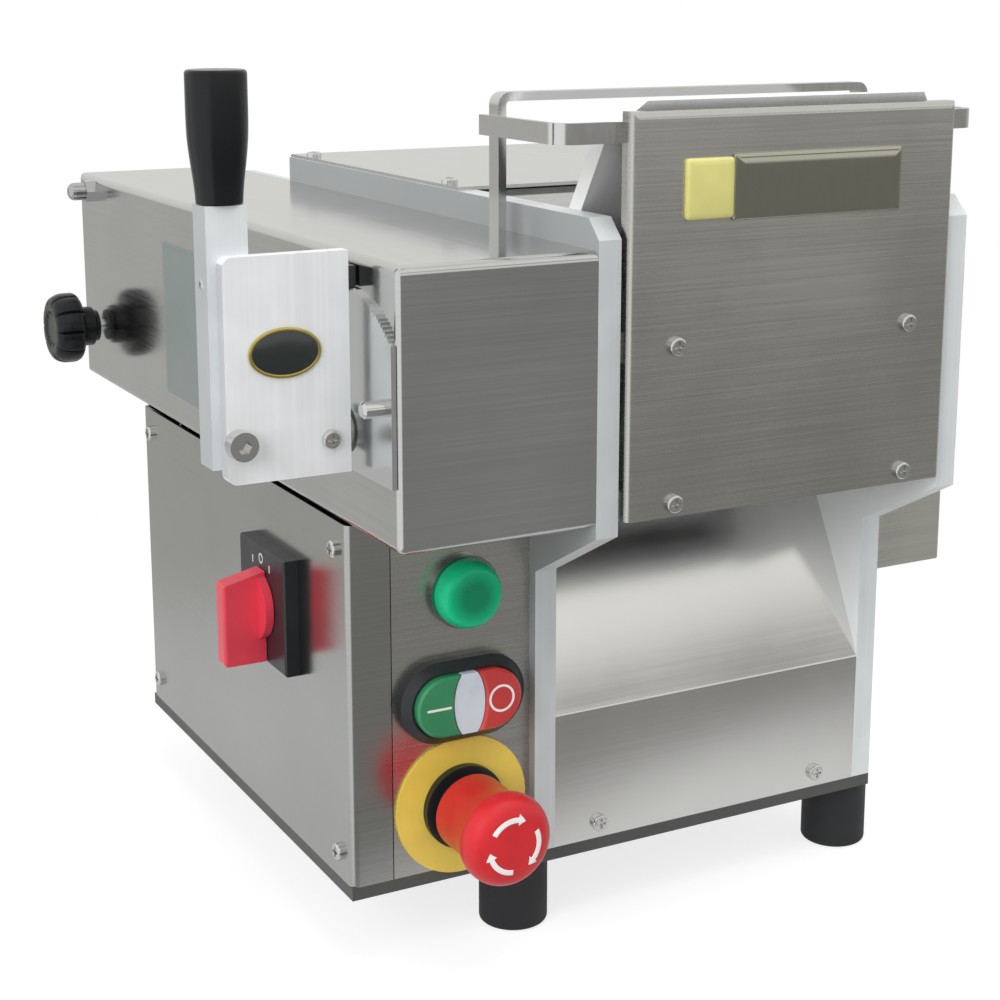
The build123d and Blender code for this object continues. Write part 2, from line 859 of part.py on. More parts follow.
def make_spindle_bush():
    """Bronze bush in the sector and the gear cover, with a rim inside the cover."""
    outer = spindle_radius + bush_wall
    bush = rod_x(pivot_y, pivot_z, outer, -sector_thick, bush_length - sector_thick)
    bush += rod_x(pivot_y, pivot_z, outer + bush_rim, sheet, sheet + bush_rim)
    return bush - rod_x(pivot_y, pivot_z, spindle_radius + run_fit, -sector_thick - overrun, bush_length)


def make_cover_studs():
    """Shouldered studs from the left plate through the gear cover's wall."""
    studs = Part()
    for y, z, reach in ((nut_y, nut_z, stud_in_nut), (knob_y, knob_z, knob_stand + stud_in_knob)):
        stud = rod_x(y, z, stud_shoulder_radius, sheet, plate_left)
        studs += stud + rod_x(y, z, stud_radius, -reach, sheet)
    return studs


def make_acorn_nut():
    """Domed hexagon nut on the upper stud."""
    outline = RegularPolygon(nut_flats / 2, 6, major_radius=False)
    hexagon = Plane.YZ.offset(-nut_hex) * Pos(nut_y, nut_z) * outline
    nut = extrude(hexagon, amount=nut_hex)
    dome = rod_x(nut_y, nut_z, nut_dome_radius, -nut_hex - nut_dome, -nut_hex)
    nut += fillet(dome.edges().filter_by(GeomType.CIRCLE).sort_by(Axis.X)[:1], nut_dome_radius - overrun)
    return nut - rod_x(nut_y, nut_z, stud_radius, -stud_in_nut, overrun)


def make_gear_motor():
    """Gear motor bolted inside the left plate, with cooling fins and an end cap."""
    right = inner_left + gearbox_length
    cap_left = right + motor_length - motor_cap
    motor = rod_x(motor_y, roller_z, gearbox_radius, inner_left, right)
    motor += rod_x(motor_y, roller_z, motor_radius, right, cap_left)
    motor += rod_x(motor_y, roller_z, motor_cap_radius, cap_left, right + motor_length)
    fin_width = math.tau * motor_radius / fin_count * fin_width_share
    for i in range(fin_count):
        groove = block(
            (right + motor_cap, cap_left - motor_cap),
            (-fin_width / 2, fin_width / 2),
            (motor_radius - fin_depth, motor_radius + overrun),
        )
        motor -= Pos(0, motor_y, roller_z) * Rot(360 * i / fin_count, 0, 0) * groove
    depth = inner_left + motor_shaft_depth + motor_bore_spare
    return motor - rod_x(motor_y, roller_z, motor_shaft_radius + run_fit, inner_left - overrun, depth)


def make_idler_axle():
    """Fixed axle of the idler gear, with a foot on the plate and a head that keeps the gear on."""
    left = drive_gear_left - axle_end_play
    foot = drive_gear_right + axle_end_play
    axle = rod_x(idler_y, roller_z, axle_radius, left, plate_left)
    axle += rod_x(idler_y, roller_z, axle_flange_radius, foot, plate_left)
    return axle + rod_x(idler_y, roller_z, axle_head_radius, left - axle_head, left)


def make_rear_bearings():
    """Flanged bushes of the rear roller in both plates."""
    bearings = Part()
    rim = bearing_radius + bearing_flange_rim
    for x0, x1, rim0, rim1 in (
        (plate_left, inner_left, plate_left - bearing_flange, plate_left),
        (inner_right, plate_right, plate_right, plate_right + bearing_flange),
    ):
        bush = rod_x(rear_roller_y, roller_z, bearing_radius, x0, x1)
        bush += rod_x(rear_roller_y, roller_z, rim, rim0, rim1)
        a, b = x0 - plate_thick, x1 + plate_thick
        bearings += bush - rod_x(rear_roller_y, roller_z, journal_radius + run_fit, a, b)
    return bearings


def make_scrapers():
    """Blades between the plates, just under each roller."""
    blades = Part()
    top = roller_z - roller_radius - scraper_gap
    for y0 in (roller_y - scraper_width, rear_roller_y):
        blades += block((inner_left, inner_right), (y0, y0 + scraper_width), (top - scraper_thick, top))
    return blades


def make_pilot_base():
    """Bezel and barrel of the pilot lamp."""
    base = rod_y(pilot_x, pilot_z, pilot_bezel_radius, -pilot_bezel, 0)
    return base + rod_y(pilot_x, pilot_z, hole_radius, 0, barrel_length)


def make_pilot_lens():
    """Domed lens of the pilot lamp."""
    lens = rod_y(pilot_x, pilot_z, pilot_lens_radius, -pilot_bezel - pilot_lens, -pilot_bezel)
    return fillet(lens.edges().filter_by(GeomType.CIRCLE).sort_by(Axis.Y)[:1], pilot_lens_edge)


def stadium(width, height, y0, y1):
    """Long round-ended block on the double push button's centre."""
    face = SlotOverall(width, height)
    return extrude(Plane.XZ.offset(-y0) * Pos(button_x, button_z) * face, amount=y0 - y1)


def button_cap(front, rear):
    """Filling of the push button's pocket, loose by the sliding gap."""
    inner = 2 * (button_pocket_rim + slide_fit)
    return stadium(button_body_width - inner, button_body_height - inner, front, rear)


def lens_oval(front, rear, spare):
    """Upright oval in the middle of the double push button, grown by a gap."""
    tall = button_body_height / 2 - button_pocket_rim + button_lens_overlap
    face = Ellipse(button_lens_width / 2 + spare, tall + spare)
    return extrude(Plane.XZ.offset(-front) * Pos(button_x, button_z) * face, amount=front - rear)


def make_button_body():
    """Black body of the double push button, with one long pocket and a barrel."""
    body = stadium(button_body_width, button_body_height, -button_body_depth, 0)
    body = chamfer(body.faces().sort_by(Axis.Y)[0].edges(), button_body_edge - seam)
    rim = 2 * button_pocket_rim
    body -= stadium(
        button_body_width - rim, button_body_height - rim, -button_body_depth - overrun, -button_floor
    )
    return body + rod_y(button_x, button_z, hole_radius, 0, barrel_length)


def make_button(side):
    """Push button on the left or right of the middle lens."""
    front = -button_body_depth - button_proud
    rear = -button_floor - button_travel - button_spare
    far = button_x + side * button_body_width
    wide = (min(button_x, far), max(button_x, far))
    high = (button_z - button_body_height, button_z + button_body_height)
    cap = button_cap(front, rear) & block(wide, (front - overrun, rear + overrun), high)
    cap -= lens_oval(front - overrun, rear + overrun, slide_fit)
    return chamfer(cap.faces().sort_by(Axis.Y)[0].edges(), button_edge)


def make_button_lens():
    """Middle lens of the double push button."""
    front = -button_body_depth - button_lens_proud
    return button_cap(front, -button_floor) & lens_oval(front - overrun, -button_floor + overrun, 0)


def make_estop_disc():
    """Yellow disc behind the emergency stop."""
    disc = rod_y(estop_x, estop_z, disc_radius, -disc_thick, 0)
    return disc - rod_y(estop_x, estop_z, hole_radius, -disc_thick - overrun, overrun)


def make_estop_body():
    """Black ring, collar and barrel of the emergency stop, bored for its stem."""
    body = rod_y(estop_x, estop_z, ring_radius, ring_front, collar_rear)
    body += rod_y(estop_x, estop_z, collar_radius, collar_front, ring_front)
    body += rod_y(estop_x, estop_z, hole_radius, collar_rear, barrel_length)
    return body - rod_y(estop_x, estop_z, stem_radius + stem_play, collar_front - overrun, stem_bore_rear)


def make_estop_stem():
    """Stem that the mushroom head turns on."""
    return rod_y(estop_x, estop_z, stem_radius, stem_front, stem_rear)


def make_estop_head():
    """Red mushroom head, flared towards the front, with a skirt over the collar."""
    neck = head_rear + (head_front - head_rear) * head_neck_share
    flare = head_rear + (head_front - head_rear) * head_flare_share
    profile = [(0, head_rear), (head_neck_radius, head_rear), (head_neck_radius, neck)]
    profile += [(head_radius, flare), (head_radius, head_front), (0, head_front)]
    head = turned_y(profile, estop_x, estop_z)
    head = fillet(head.edges().filter_by(GeomType.CIRCLE).sort_by(Axis.Y)[:1], head_edge)
    skirt_end = collar_front - estop_travel - skirt_spare
    head -= rod_y(estop_x, estop_z, skirt_inner_radius, skirt_end, head_rear + overrun)
    return head - rod_y(estop_x, estop_z, stem_radius + run_fit, stem_front - run_fit, head_rear + overrun)


def make_switch_plate():
    """Bevelled square plate of the main switch."""
    half = switch_plate_size / 2
    deep = (switch_y - half, switch_y + half)
    plate = block((switch_face, box_left), deep, (switch_z - half, switch_z + half))
    plate = chamfer(plate.faces().sort_by(Axis.X)[0].edges(), switch_bevel)
    return plate - rod_x(
        switch_y, switch_z, switch_shaft_radius + run_fit, switch_face - overrun, box_left + overrun
    )


def make_switch_body():
    """Switch block inside the control box, with a boss through the side cover."""
    half = switch_body_size / 2
    right = box_inner_left + switch_body_depth
    deep = (switch_y - half, switch_y + half)
    body = block((box_inner_left, right), deep, (switch_z - half, switch_z + half))
    body += rod_x(switch_y, switch_z, switch_hole_radius, box_left, box_inner_left)
    depth = box_left + switch_shaft_depth + switch_shaft_spare
    return body - rod_x(switch_y, switch_z, switch_shaft_radius + run_fit, box_left - overrun, depth)


def make_switch_handle():
    """Red handle of the main switch: a disc, an upright paddle with a sloping top and a shaft."""
    rear = switch_face - handle_gap
    disc_face = rear - handle_disc
    outer = disc_face - handle_reach
    low = switch_z - handle_below
    high = switch_z + handle_above
    outline = [(rear, low), (outer, low), (outer, high - handle_fall), (rear, high)]
    paddle = slab_y(outline, switch_y - handle_thick / 2, switch_y + handle_thick / 2)
    handle = fillet(paddle.faces().sort_by(Axis.X)[0].edges(), handle_edge)
    handle += rod_x(switch_y, switch_z, handle_disc_radius, disc_face, rear)
    return handle + rod_x(switch_y, switch_z, switch_shaft_radius, rear, box_left + switch_shaft_depth)


def make_cable_gland():
    """Cable gland in the control box's rear wall."""
    rear = box_depth + gland_nut + gland_dome
    gland = rod_y(gland_x, gland_z, gland_radius, box_depth - sheet - gland_inner, box_depth)
    gland += rod_y(gland_x, gland_z, gland_nut_radius, box_depth, box_depth + gland_nut)
    gland += rod_y(gland_x, gland_z, gland_radius, box_depth + gland_nut, rear)
    bore_front = box_depth - sheet - gland_inner - overrun
    return gland - rod_y(gland_x, gland_z, gland_bore, bore_front, rear + overrun)


def make_lever_bar():
    """Square bar of the thickness lever."""
    bar = block(
        (lever_bar_left, lever_bar_right),
        (lever_bar_front, lever_bar_rear),
        (lever_bar_bottom, lever_bar_top),
    )
    left, right = lever_bar_left - overrun, lever_bar_right + overrun
    return bar - rod_x(pivot_y, pivot_z, spindle_nose_radius, left, right)


def make_lever_plate():
    """Plate on the front of the lever bar."""
    plate = block(
        (lever_plate_left, lever_plate_right),
        (lever_plate_front, lever_bar_front),
        (lever_plate_bottom, lever_plate_top),
    )
    plate = fillet(plate.edges().filter_by(Axis.Y).sort_by(Axis.X)[:2], lever_plate_corner)
    for x, z in ((lever_x, cap_screw_z), (lever_screw_x, pivot_z)):
        plate -= rod_y(x, z, screw_radius, lever_plate_front - overrun, lever_bar_front + overrun)
    return plate


def make_lever_grip():
    """Tapered black grip on top of the lever bar."""
    mid = lever_bar_top + grip_height * (1 - grip_mid_share)
    lines = Curve() + Line((0, lever_bar_top), (grip_bottom_radius, lever_bar_top))
    lines += Line((grip_bottom_radius, lever_bar_top), (grip_mid_radius, mid))
    lines += Line((grip_mid_radius, mid), (grip_top_radius, grip_top))
    lines += Polyline((grip_top_radius, grip_top), (0, grip_top), (0, lever_bar_top))
    grip = revolve(Plane.XZ * make_face(lines), Axis.Z)
    grip = fillet(grip.edges().filter_by(GeomType.CIRCLE).sort_by(Axis.Z)[-1:], grip_edge)
    return Pos(lever_x, pivot_y, 0) * grip


def make_lever_screws():
    """Socket cap screw over the bar and a pan head screw over the hub."""
    front = lever_plate_front - cap_head_height
    cap = rod_y(lever_x, cap_screw_z, cap_head_radius, front, lever_plate_front)
    hexagon = Pos(lever_x, cap_screw_z) * RegularPolygon(cap_socket_radius, 6)
    cap -= extrude(Plane.XZ.offset(-front) * hexagon, amount=-cap_socket_depth)
    cap += rod_y(lever_x, cap_screw_z, screw_radius, lever_plate_front, lever_bar_front)
    pan = pan_screw(front_place(lever_screw_x, lever_plate_front, pivot_z), lever_plate_thick)
    return Part() + [cap, pan]


def make_lever_spindle():
    """Spindle through the gear cover, with a square hub under the lever plate and a crank inside."""
    crank_left = drive_gear_left - crank_thick
    spindle = rod_x(pivot_y, pivot_z, spindle_radius, lever_bar_right, drive_gear_left)
    spindle += rod_x(pivot_y, pivot_z, spindle_nose_radius, lever_bar_left, lever_bar_right)
    deep = (lever_bar_front, pivot_y + spindle_radius)
    spindle += block((hub_left, hub_right), deep, (pivot_z - hub_half_height, pivot_z + hub_half_height))
    spindle += link_arm(crank_left, drive_gear_left, link_radius + lug_rim)
    return spindle - link_hole(crank_left - overrun, drive_gear_left + overrun)


def make_link_rod():
    """Rod that ties the crank to both eccentric bushes."""
    return link_hole(drive_gear_left - crank_thick, plate_right + flange_thick)


def make_eccentric_bushes():
    """Eccentric bushes in both plates, with lugs for the link rod."""
    bushes = Part()
    bore_y = pivot_y + throw * math.sin(half_turn)
    bore_z = pivot_z + throw * math.cos(half_turn)
    for x0, x1, rim0, rim1 in (
        (plate_left, inner_left, plate_left - flange_thick, plate_left),
        (inner_right, plate_right, plate_right, plate_right + flange_thick),
    ):
        bush = rod_x(pivot_y, pivot_z, bush_radius, x0, x1)
        bush += rod_x(pivot_y, pivot_z, bush_flange_radius, rim0, rim1)
        bush += link_arm(rim0, rim1, link_radius + lug_rim)
        a, b = x0 - plate_thick, x1 + plate_thick
        bush -= rod_x(bore_y, bore_z, bearing_radius + bearing_play, a, b)
        bushes += bush - link_hole(a, b)
    return bushes


def make_index_pawl():
    """Pawl on the back of the lever plate, over the sector's teeth."""
    low = pivot_z + sector_radius + pawl_gap
    return block((pawl_left, -pawl_cover_gap), (lever_bar_front, lever_bar_rear), (low, low + pawl_height))


def make_front_bearings():
    """Bearing rings of the front roller inside the eccentric bushes."""
    rings = Part()
    for x0, x1 in ((plate_left, inner_left), (inner_right, plate_right)):
        ring = rod_x(roller_y, roller_z, bearing_radius, x0, x1)
        rings += ring - rod_x(roller_y, roller_z, journal_radius + run_fit, x0 - overrun, x1 + overrun)
    return rings


def make_roller(y, left):
    """Roller with journals through both plates."""
    body = rod_x(y, roller_z, roller_radius, inner_left + roller_end_gap, inner_right - roller_end_gap)
    return body + rod_x(y, roller_z, journal_radius, left, plate_right + journal_overhang)


def make_motor_pinion():
    """Pinion on the gear motor's shaft."""
    pinion = gear(
        pinion_teeth,
        drive_module,
        motor_y,
        roller_z,
        drive_gear_left,
        drive_gear_right,
        motor_shaft_radius,
        0,
    )
    return pinion + rod_x(
        motor_y, roller_z, motor_shaft_radius, drive_gear_left, inner_left + motor_shaft_depth
    )


def make_clamp_knob():
    """Fluted knob and its hub on the rear stud."""
    hub_left = -knob_stand - knob_hub
    left = hub_left - knob_length
    head = rod_x(knob_y, knob_z, knob_radius, left, hub_left)
    head = fillet(head.edges().filter_by(GeomType.CIRCLE), knob_edge)
    for i in range(knob_flutes):
        turn = math.tau * i / knob_flutes
        y = knob_y + knob_radius * math.cos(turn)
        z = knob_z + knob_radius * math.sin(turn)
        head -= rod_x(y, z, knob_flute_radius, left - overrun, hub_left + overrun)
    knob = head + rod_x(knob_y, knob_z, knob_hub_radius, hub_left, -knob_stand)
    bottom = -knob_stand - stud_in_knob - overrun
    return knob - rod_x(knob_y, knob_z, stud_radius + run_fit, bottom, overrun)


roller_gear_ends = (roller_gear_left, roller_gear_right)
drive_gear_ends = (drive_gear_left, drive_gear_right)
gear_bore = journal_radius + gear_fit

NODES = {
    "left_side_plate": make_left_plate(),
    "right_side_plate": make_right_plate(),
    "base_plate": make_base_plate(),
    "box_floor": make_box_floor(),
    "rear_panel": make_rear_panel(),
    "discharge_chute": make_discharge_chute(),
    "front_panel": make_front_panel(),
    "cross_bars": make_cross_bars(),
    "hopper_front_plate": make_hopper_front_plate(),
    "hopper_rear_plate": make_hopper_rear_plate(),
    "rear_table": make_rear_table(),
    "guard_bar": make_guard_bar(),
    "guard_strip": make_guard_strip(),
    "gear_cover": make_gear_cover(),
    "right_cover": make_right_cover(),
    "side_cover": make_side_cover(),
    "control_panel": make_control_panel(),
    "box_rear_panel": make_box_rear_panel(),
    "feet": make_feet(),
    "pan_screws": make_pan_screws(),
    "sector_plate": make_sector_plate(),
    "stop_pin": make_stop_pin(),
    "spindle_bush": make_spindle_bush(),
    "cover_studs": make_cover_studs(),
    "acorn_nut": make_acorn_nut(),
    "gear_motor": make_gear_motor(),
    "idler_axle": make_idler_axle(),
    "rear_bearings": make_rear_bearings(),
    "scrapers": make_scrapers(),
    "pilot_base": make_pilot_base(),
    "pilot_lens": make_pilot_lens(),
    "button_body": make_button_body(),
    "button_lens": make_button_lens(),
    "start_button": make_button(-1),
    "stop_button": make_button(1),
    "estop_disc": make_estop_disc(),
    "estop_body": make_estop_body(),
    "estop_stem": make_estop_stem(),
    "estop_head": make_estop_head(),
    "switch_plate": make_switch_plate(),
    "switch_body": make_switch_body(),
    "switch_handle": make_switch_handle(),
    "cable_gland": make_cable_gland(),
    "lever_bar": make_lever_bar(),
    "lever_plate": make_lever_plate(),
    "lever_grip": make_lever_grip(),
    "lever_screws": make_lever_screws(),
    "lever_spindle": make_lever_spindle(),
    "link_rod": make_link_rod(),
    "eccentric_bushes": make_eccentric_bushes(),
    "index_pawl": make_index_pawl(),
    "front_bearings": make_front_bearings(),
    "front_roller": make_roller(roller_y, roller_gear_left),
    "front_gear": gear(
        roller_teeth, roller_module, roller_y, roller_z, *roller_gear_ends, gear_bore, 180 / roller_teeth
    ),
    "rear_roller": make_roller(rear_roller_y, drive_gear_left),
    "rear_gear": gear(roller_teeth, roller_module, rear_roller_y, roller_z, *roller_gear_ends, gear_bore, 0),
    "driven_gear": gear(driven_teeth, drive_module, rear_roller_y, roller_z, *drive_gear_ends, gear_bore, 0),
    "idler_gear": gear(
        idler_teeth,
        drive_module,
        idler_y,
        roller_z,
        *drive_gear_ends,
        axle_radius + run_fit,
        180 / idler_teeth,
    ),
    "motor_pinion": make_motor_pinion(),
    "clamp_knob": make_clamp_knob(),
}

os.makedirs("parts", exist_ok=True)
for name, piece in NODES.items():
    export_step(origin * piece, f"parts/{name}.step")
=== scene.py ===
import logging
import math
from dataclasses import dataclass, field
from enum import Enum
from typing import Callable, Sequence

import bmesh
import bpy
import numpy as np
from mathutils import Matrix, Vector


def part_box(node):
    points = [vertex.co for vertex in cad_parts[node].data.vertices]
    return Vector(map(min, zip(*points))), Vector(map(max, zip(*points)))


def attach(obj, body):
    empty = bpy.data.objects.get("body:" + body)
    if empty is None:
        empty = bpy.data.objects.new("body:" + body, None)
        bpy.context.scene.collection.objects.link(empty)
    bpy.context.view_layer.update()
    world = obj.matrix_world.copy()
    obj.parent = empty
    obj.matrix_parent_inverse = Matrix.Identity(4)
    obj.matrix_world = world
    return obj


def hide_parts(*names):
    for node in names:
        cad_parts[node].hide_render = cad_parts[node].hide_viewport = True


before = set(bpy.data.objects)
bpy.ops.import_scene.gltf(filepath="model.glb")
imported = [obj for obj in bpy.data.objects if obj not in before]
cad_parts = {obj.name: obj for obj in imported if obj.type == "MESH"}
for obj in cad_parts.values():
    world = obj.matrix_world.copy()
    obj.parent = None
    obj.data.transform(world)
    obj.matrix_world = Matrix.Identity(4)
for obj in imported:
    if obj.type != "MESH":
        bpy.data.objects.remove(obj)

LOG = logging.getLogger("pasta_sheeter")
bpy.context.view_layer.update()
MM = 0.001
NOISE_SPAN = (0.3, 0.7)
TONE_PAIRS = (0.0, 0.4, 0.6, 1.0)
BRUSH_DEPTH = 0.03 * MM
SKIN_DEPTH = 0.04 * MM
MARK_SINK = -0.1 * MM
MARK_RISE = 0.12 * MM
Colour = tuple[float, float, float]


class Facing(Enum):
    """Side of the machine that a flat or turned piece faces."""

    FRONT = "front"
    LEFT = "left"
    UP = "up"

    def place(self, local: np.ndarray, seat: Vector) -> np.ndarray:
        """Carry local (across, up, outward) points to the machine's frame.

        Args:
            local: array whose last axis holds across, up and outward, in metres.
            seat: point of the machine that local zero sits on.

        Returns:
            Array of the same shape with X, Y and Z.
        """
        across, up, out = local[..., 0], local[..., 1], local[..., 2]
        axes = {
            Facing.FRONT: (across, -out, up),
            Facing.LEFT: (-out, -across, up),
            Facing.UP: (across, up, out),
        }[self]
        return np.stack(axes, axis=-1) + np.array(seat)


class Grain(Enum):
    """How fast the brushing changes along X, Y and Z on upright faces."""

    LEVEL = (9.0, 9.0, 1500.0)
    UPRIGHT = (1500.0, 9.0, 9.0)


class Bench:
    """One material's node tree, with short calls for the nodes that the finishes share."""

    def __init__(self, name: str) -> None:
        """Make an empty material with a Principled shader on its output.

        Args:
            name: material's name.
        """
        self.material = bpy.data.materials.new(name)
        self.material.use_nodes = True
        self.tree = self.material.node_tree
        self.tree.nodes.clear()
        self.shader = self.node("ShaderNodeBsdfPrincipled")
        output = self.node("ShaderNodeOutputMaterial")
        self.link(self.shader.outputs["BSDF"], output.inputs["Surface"])
        self.place = self.node("ShaderNodeTexCoord").outputs["Object"]

    def node(self, kind: str, **settings: object) -> bpy.types.Node:
        """Add a node and set its properties.

        Args:
            kind: Blender's node type.
            settings: property names and values.

        Returns:
            The new node.
        """
        made = self.tree.nodes.new(kind)
        for key, value in settings.items():
            setattr(made, key, value)
        return made

    def link(self, source: bpy.types.NodeSocket, target: bpy.types.NodeSocket) -> None:
        """Join an output to an input."""
        self.tree.links.new(source, target)

    def set(self, **values: object) -> None:
        """Set the shader's own sockets; underscores in the names stand for spaces."""
        for key, value in values.items():
            self.shader.inputs[key.replace("_", " ")].default_value = value

    def noise(
        self, scale: Sequence[float], detail: float = 3.0, centre: Sequence[float] = (0.0, 0.0, 0.0)
    ) -> bpy.types.NodeSocket:
        """Noise on Object coordinates with its own scale along each axis.

        Args:
            scale: cells per metre along X, Y and Z.
            detail: octaves of the noise.
            centre: shift of the pattern.

        Returns:
            The noise's factor output.
        """
        mapping = self.node("ShaderNodeMapping")
        mapping.inputs["Scale"].default_value = tuple(scale)
        mapping.inputs["Location"].default_value = tuple(centre)
        texture = self.node("ShaderNodeTexNoise")
        texture.inputs["Scale"].default_value = 1.0
        texture.inputs["Detail"].default_value = detail
        self.link(self.place, mapping.inputs["Vector"])
        self.link(mapping.outputs["Vector"], texture.inputs["Vector"])
        return texture.outputs["Fac"]

    def span(self, value: bpy.types.NodeSocket, low: float, high: float) -> bpy.types.NodeSocket:
        """Stretch the middle of a noise to a range.

        Args:
            value: factor from 0 to 1.
            low: result at the start of the noise's middle.
            high: result at its end.

        Returns:
            The ranged output.
        """
        ranged = self.node("ShaderNodeMapRange")
        ranged.inputs["From Min"].default_value, ranged.inputs["From Max"].default_value = NOISE_SPAN
        ranged.inputs["To Min"].default_value = low
        ranged.inputs["To Max"].default_value = high
        self.link(value, ranged.inputs["Value"])
        return ranged.outputs["Result"]

    def mix(
        self, factor: bpy.types.NodeSocket, a: bpy.types.NodeSocket, b: bpy.types.NodeSocket
    ) -> bpy.types.NodeSocket:
        """Mix two numbers by a factor that changes over the surface.

        Args:
            factor: 0 for the first number and 1 for the second.
            a: first number.
            b: second number.

        Returns:
            The mixed output.
        """
        mixed = self.node("ShaderNodeMix", data_type="FLOAT")
        self.link(factor, mixed.inputs[0])
        self.link(a, mixed.inputs[2])
        self.link(b, mixed.inputs[3])
        return mixed.outputs[0]

    def tones(self, factor: bpy.types.NodeSocket, places: Sequence[float], colours: Sequence[Colour]) -> None:
        """Colour the shader by a ramp.

        Args:
            factor: place on the ramp.
            places: place of each colour, rising.
            colours: one colour for each place.
        """
        ramp = self.node("ShaderNodeValToRGB")
        points = ramp.color_ramp.elements
        while len(points) < len(places):
            points.new(0.5)
        for point, position, colour in zip(points, places, colours):
            point.position = position
            point.color = (*colour, 1.0)
        self.link(factor, ramp.inputs["Fac"])
        self.link(ramp.outputs["Color"], self.shader.inputs["Base Color"])

    def tint(self, factor: bpy.types.NodeSocket, dark: Colour, light: Colour) -> None:
        """Colour the shader from a dark tone to a light one over the middle of a noise."""
        self.tones(factor, NOISE_SPAN, (dark, light))

    def rough(self, pattern: bpy.types.NodeSocket, roughness: float, low: float, high: float) -> None:
        """Vary the roughness by a pattern, between two shares of it."""
        self.link(self.span(pattern, roughness * low, roughness * high), self.shader.inputs["Roughness"])

    def bump(self, height: bpy.types.NodeSocket, strength: float, depth: float) -> None:
        """Raise the surface by a height pattern.

        Args:
            height: pattern from 0 to 1.
            strength: share of the bump that shows.
            depth: height of the pattern in metres.
        """
        relief = self.node("ShaderNodeBump")
        relief.inputs["Strength"].default_value = strength
        relief.inputs["Distance"].default_value = depth
        self.link(height, relief.inputs["Height"])
        self.link(relief.outputs["Normal"], self.shader.inputs["Normal"])

    def face_shaded_tones(
        self, tone: bpy.types.NodeSocket, side: bpy.types.NodeSocket,
        rest: tuple[Colour, Colour], ground: tuple[Colour, Colour],
    ) -> None:
        """Colour the shader between two pairs of tones, the second pair on side faces: painted light where it is
        lighter, painted shade where it is darker.

        Args:
            tone: noise that picks a place within a pair.
            side: 1 on side faces and 0 elsewhere.
            rest: dark and light colour away from the side faces.
            ground: dark and light colour of the side faces; painted light where it is lighter than rest, painted
                shade where it is darker.
        """
        place = self.node("ShaderNodeMath", operation="MULTIPLY_ADD")
        place.inputs[1].default_value = TONE_PAIRS[2]
        self.link(side, place.inputs[0])
        self.link(self.span(tone, *TONE_PAIRS[:2]), place.inputs[2])
        self.tones(place.outputs["Value"], TONE_PAIRS, (*rest, *ground))

    def facing(self, axis: str) -> bpy.types.NodeSocket:
        """Tell the faces that look along an axis, by the surface's own normal.

        Args:
            axis: X, Y or Z.

        Returns:
            Factor that is 1 on those faces and 0 on others.
        """
        normal = self.node("ShaderNodeNewGeometry").outputs["True Normal"]
        split = self.node("ShaderNodeSeparateXYZ")
        size = self.node("ShaderNodeMath", operation="ABSOLUTE")
        test = self.node("ShaderNodeMath", operation="GREATER_THAN")
        test.inputs[1].default_value = 0.9
        self.link(normal, split.inputs["Vector"])
        self.link(split.outputs[axis], size.inputs[0])
        self.link(size.outputs["Value"], test.inputs[0])
        return test.outputs["Value"]


def shade(colour: Colour, factor: float) -> Colour:
    """Colour made darker or lighter by a factor."""
    return tuple(min(1.0, c * factor) for c in colour)


@dataclass(frozen=True)
class Finish:
    """Named surface finish; each kind builds its own node material once."""

    name: str
    colour: Colour
    roughness: float = 0.4

    def build(self, bench: Bench) -> None:
        """Fill in the material's nodes."""
        raise NotImplementedError

    def material(self) -> bpy.types.Material:
        """Make the finish's material on first use.

        Returns:
            The material.
        """
        known = bpy.data.materials.get(self.name)
        if known:
            return known
        bench = Bench(self.name)
        self.build(bench)
        bench.material.diffuse_color = (*self.colour, 1.0)
        return bench.material


@dataclass(frozen=True)
class BrushedSteel(Finish):
    """Stainless sheet with fine brushing, cloudy patches and faint wipe marks."""

    grain: Grain = Grain.LEVEL
    relief: float = 0.12
    streak: float = 0.45
    wear: float = 0.05

    def build(self, bench: Bench) -> None:
        """Brushing runs level or upright on walls and along Y on level faces.

        Args:
            bench: material to fill in.
        """
        wall = bench.noise(self.grain.value, 4.0)
        level = bench.noise((1500.0, 9.0, 9.0), 4.0)
        brushing = bench.mix(bench.facing("Z"), wall, level)
        cloud = bench.noise((14.0, 14.0, 14.0), 4.0, (3.1, 0.4, 1.7))
        tone = bench.node("ShaderNodeMath", operation="MULTIPLY_ADD")
        tone.inputs[1].default_value = self.streak
        bench.link(brushing, tone.inputs[0])
        bench.link(bench.span(cloud, 0.20, 0.36), tone.inputs[2])
        bench.tint(tone.outputs["Value"], shade(self.colour, 0.88), shade(self.colour, 1.10))
        wear = bench.node("ShaderNodeMath", operation="ADD")
        bench.link(bench.span(brushing, -self.wear, self.wear), wear.inputs[0])
        bench.link(bench.span(cloud, self.roughness * 0.88, self.roughness * 1.15), wear.inputs[1])
        bench.link(wear.outputs["Value"], bench.shader.inputs["Roughness"])
        bench.set(Metallic=1.0)
        bench.bump(brushing, self.relief, BRUSH_DEPTH)


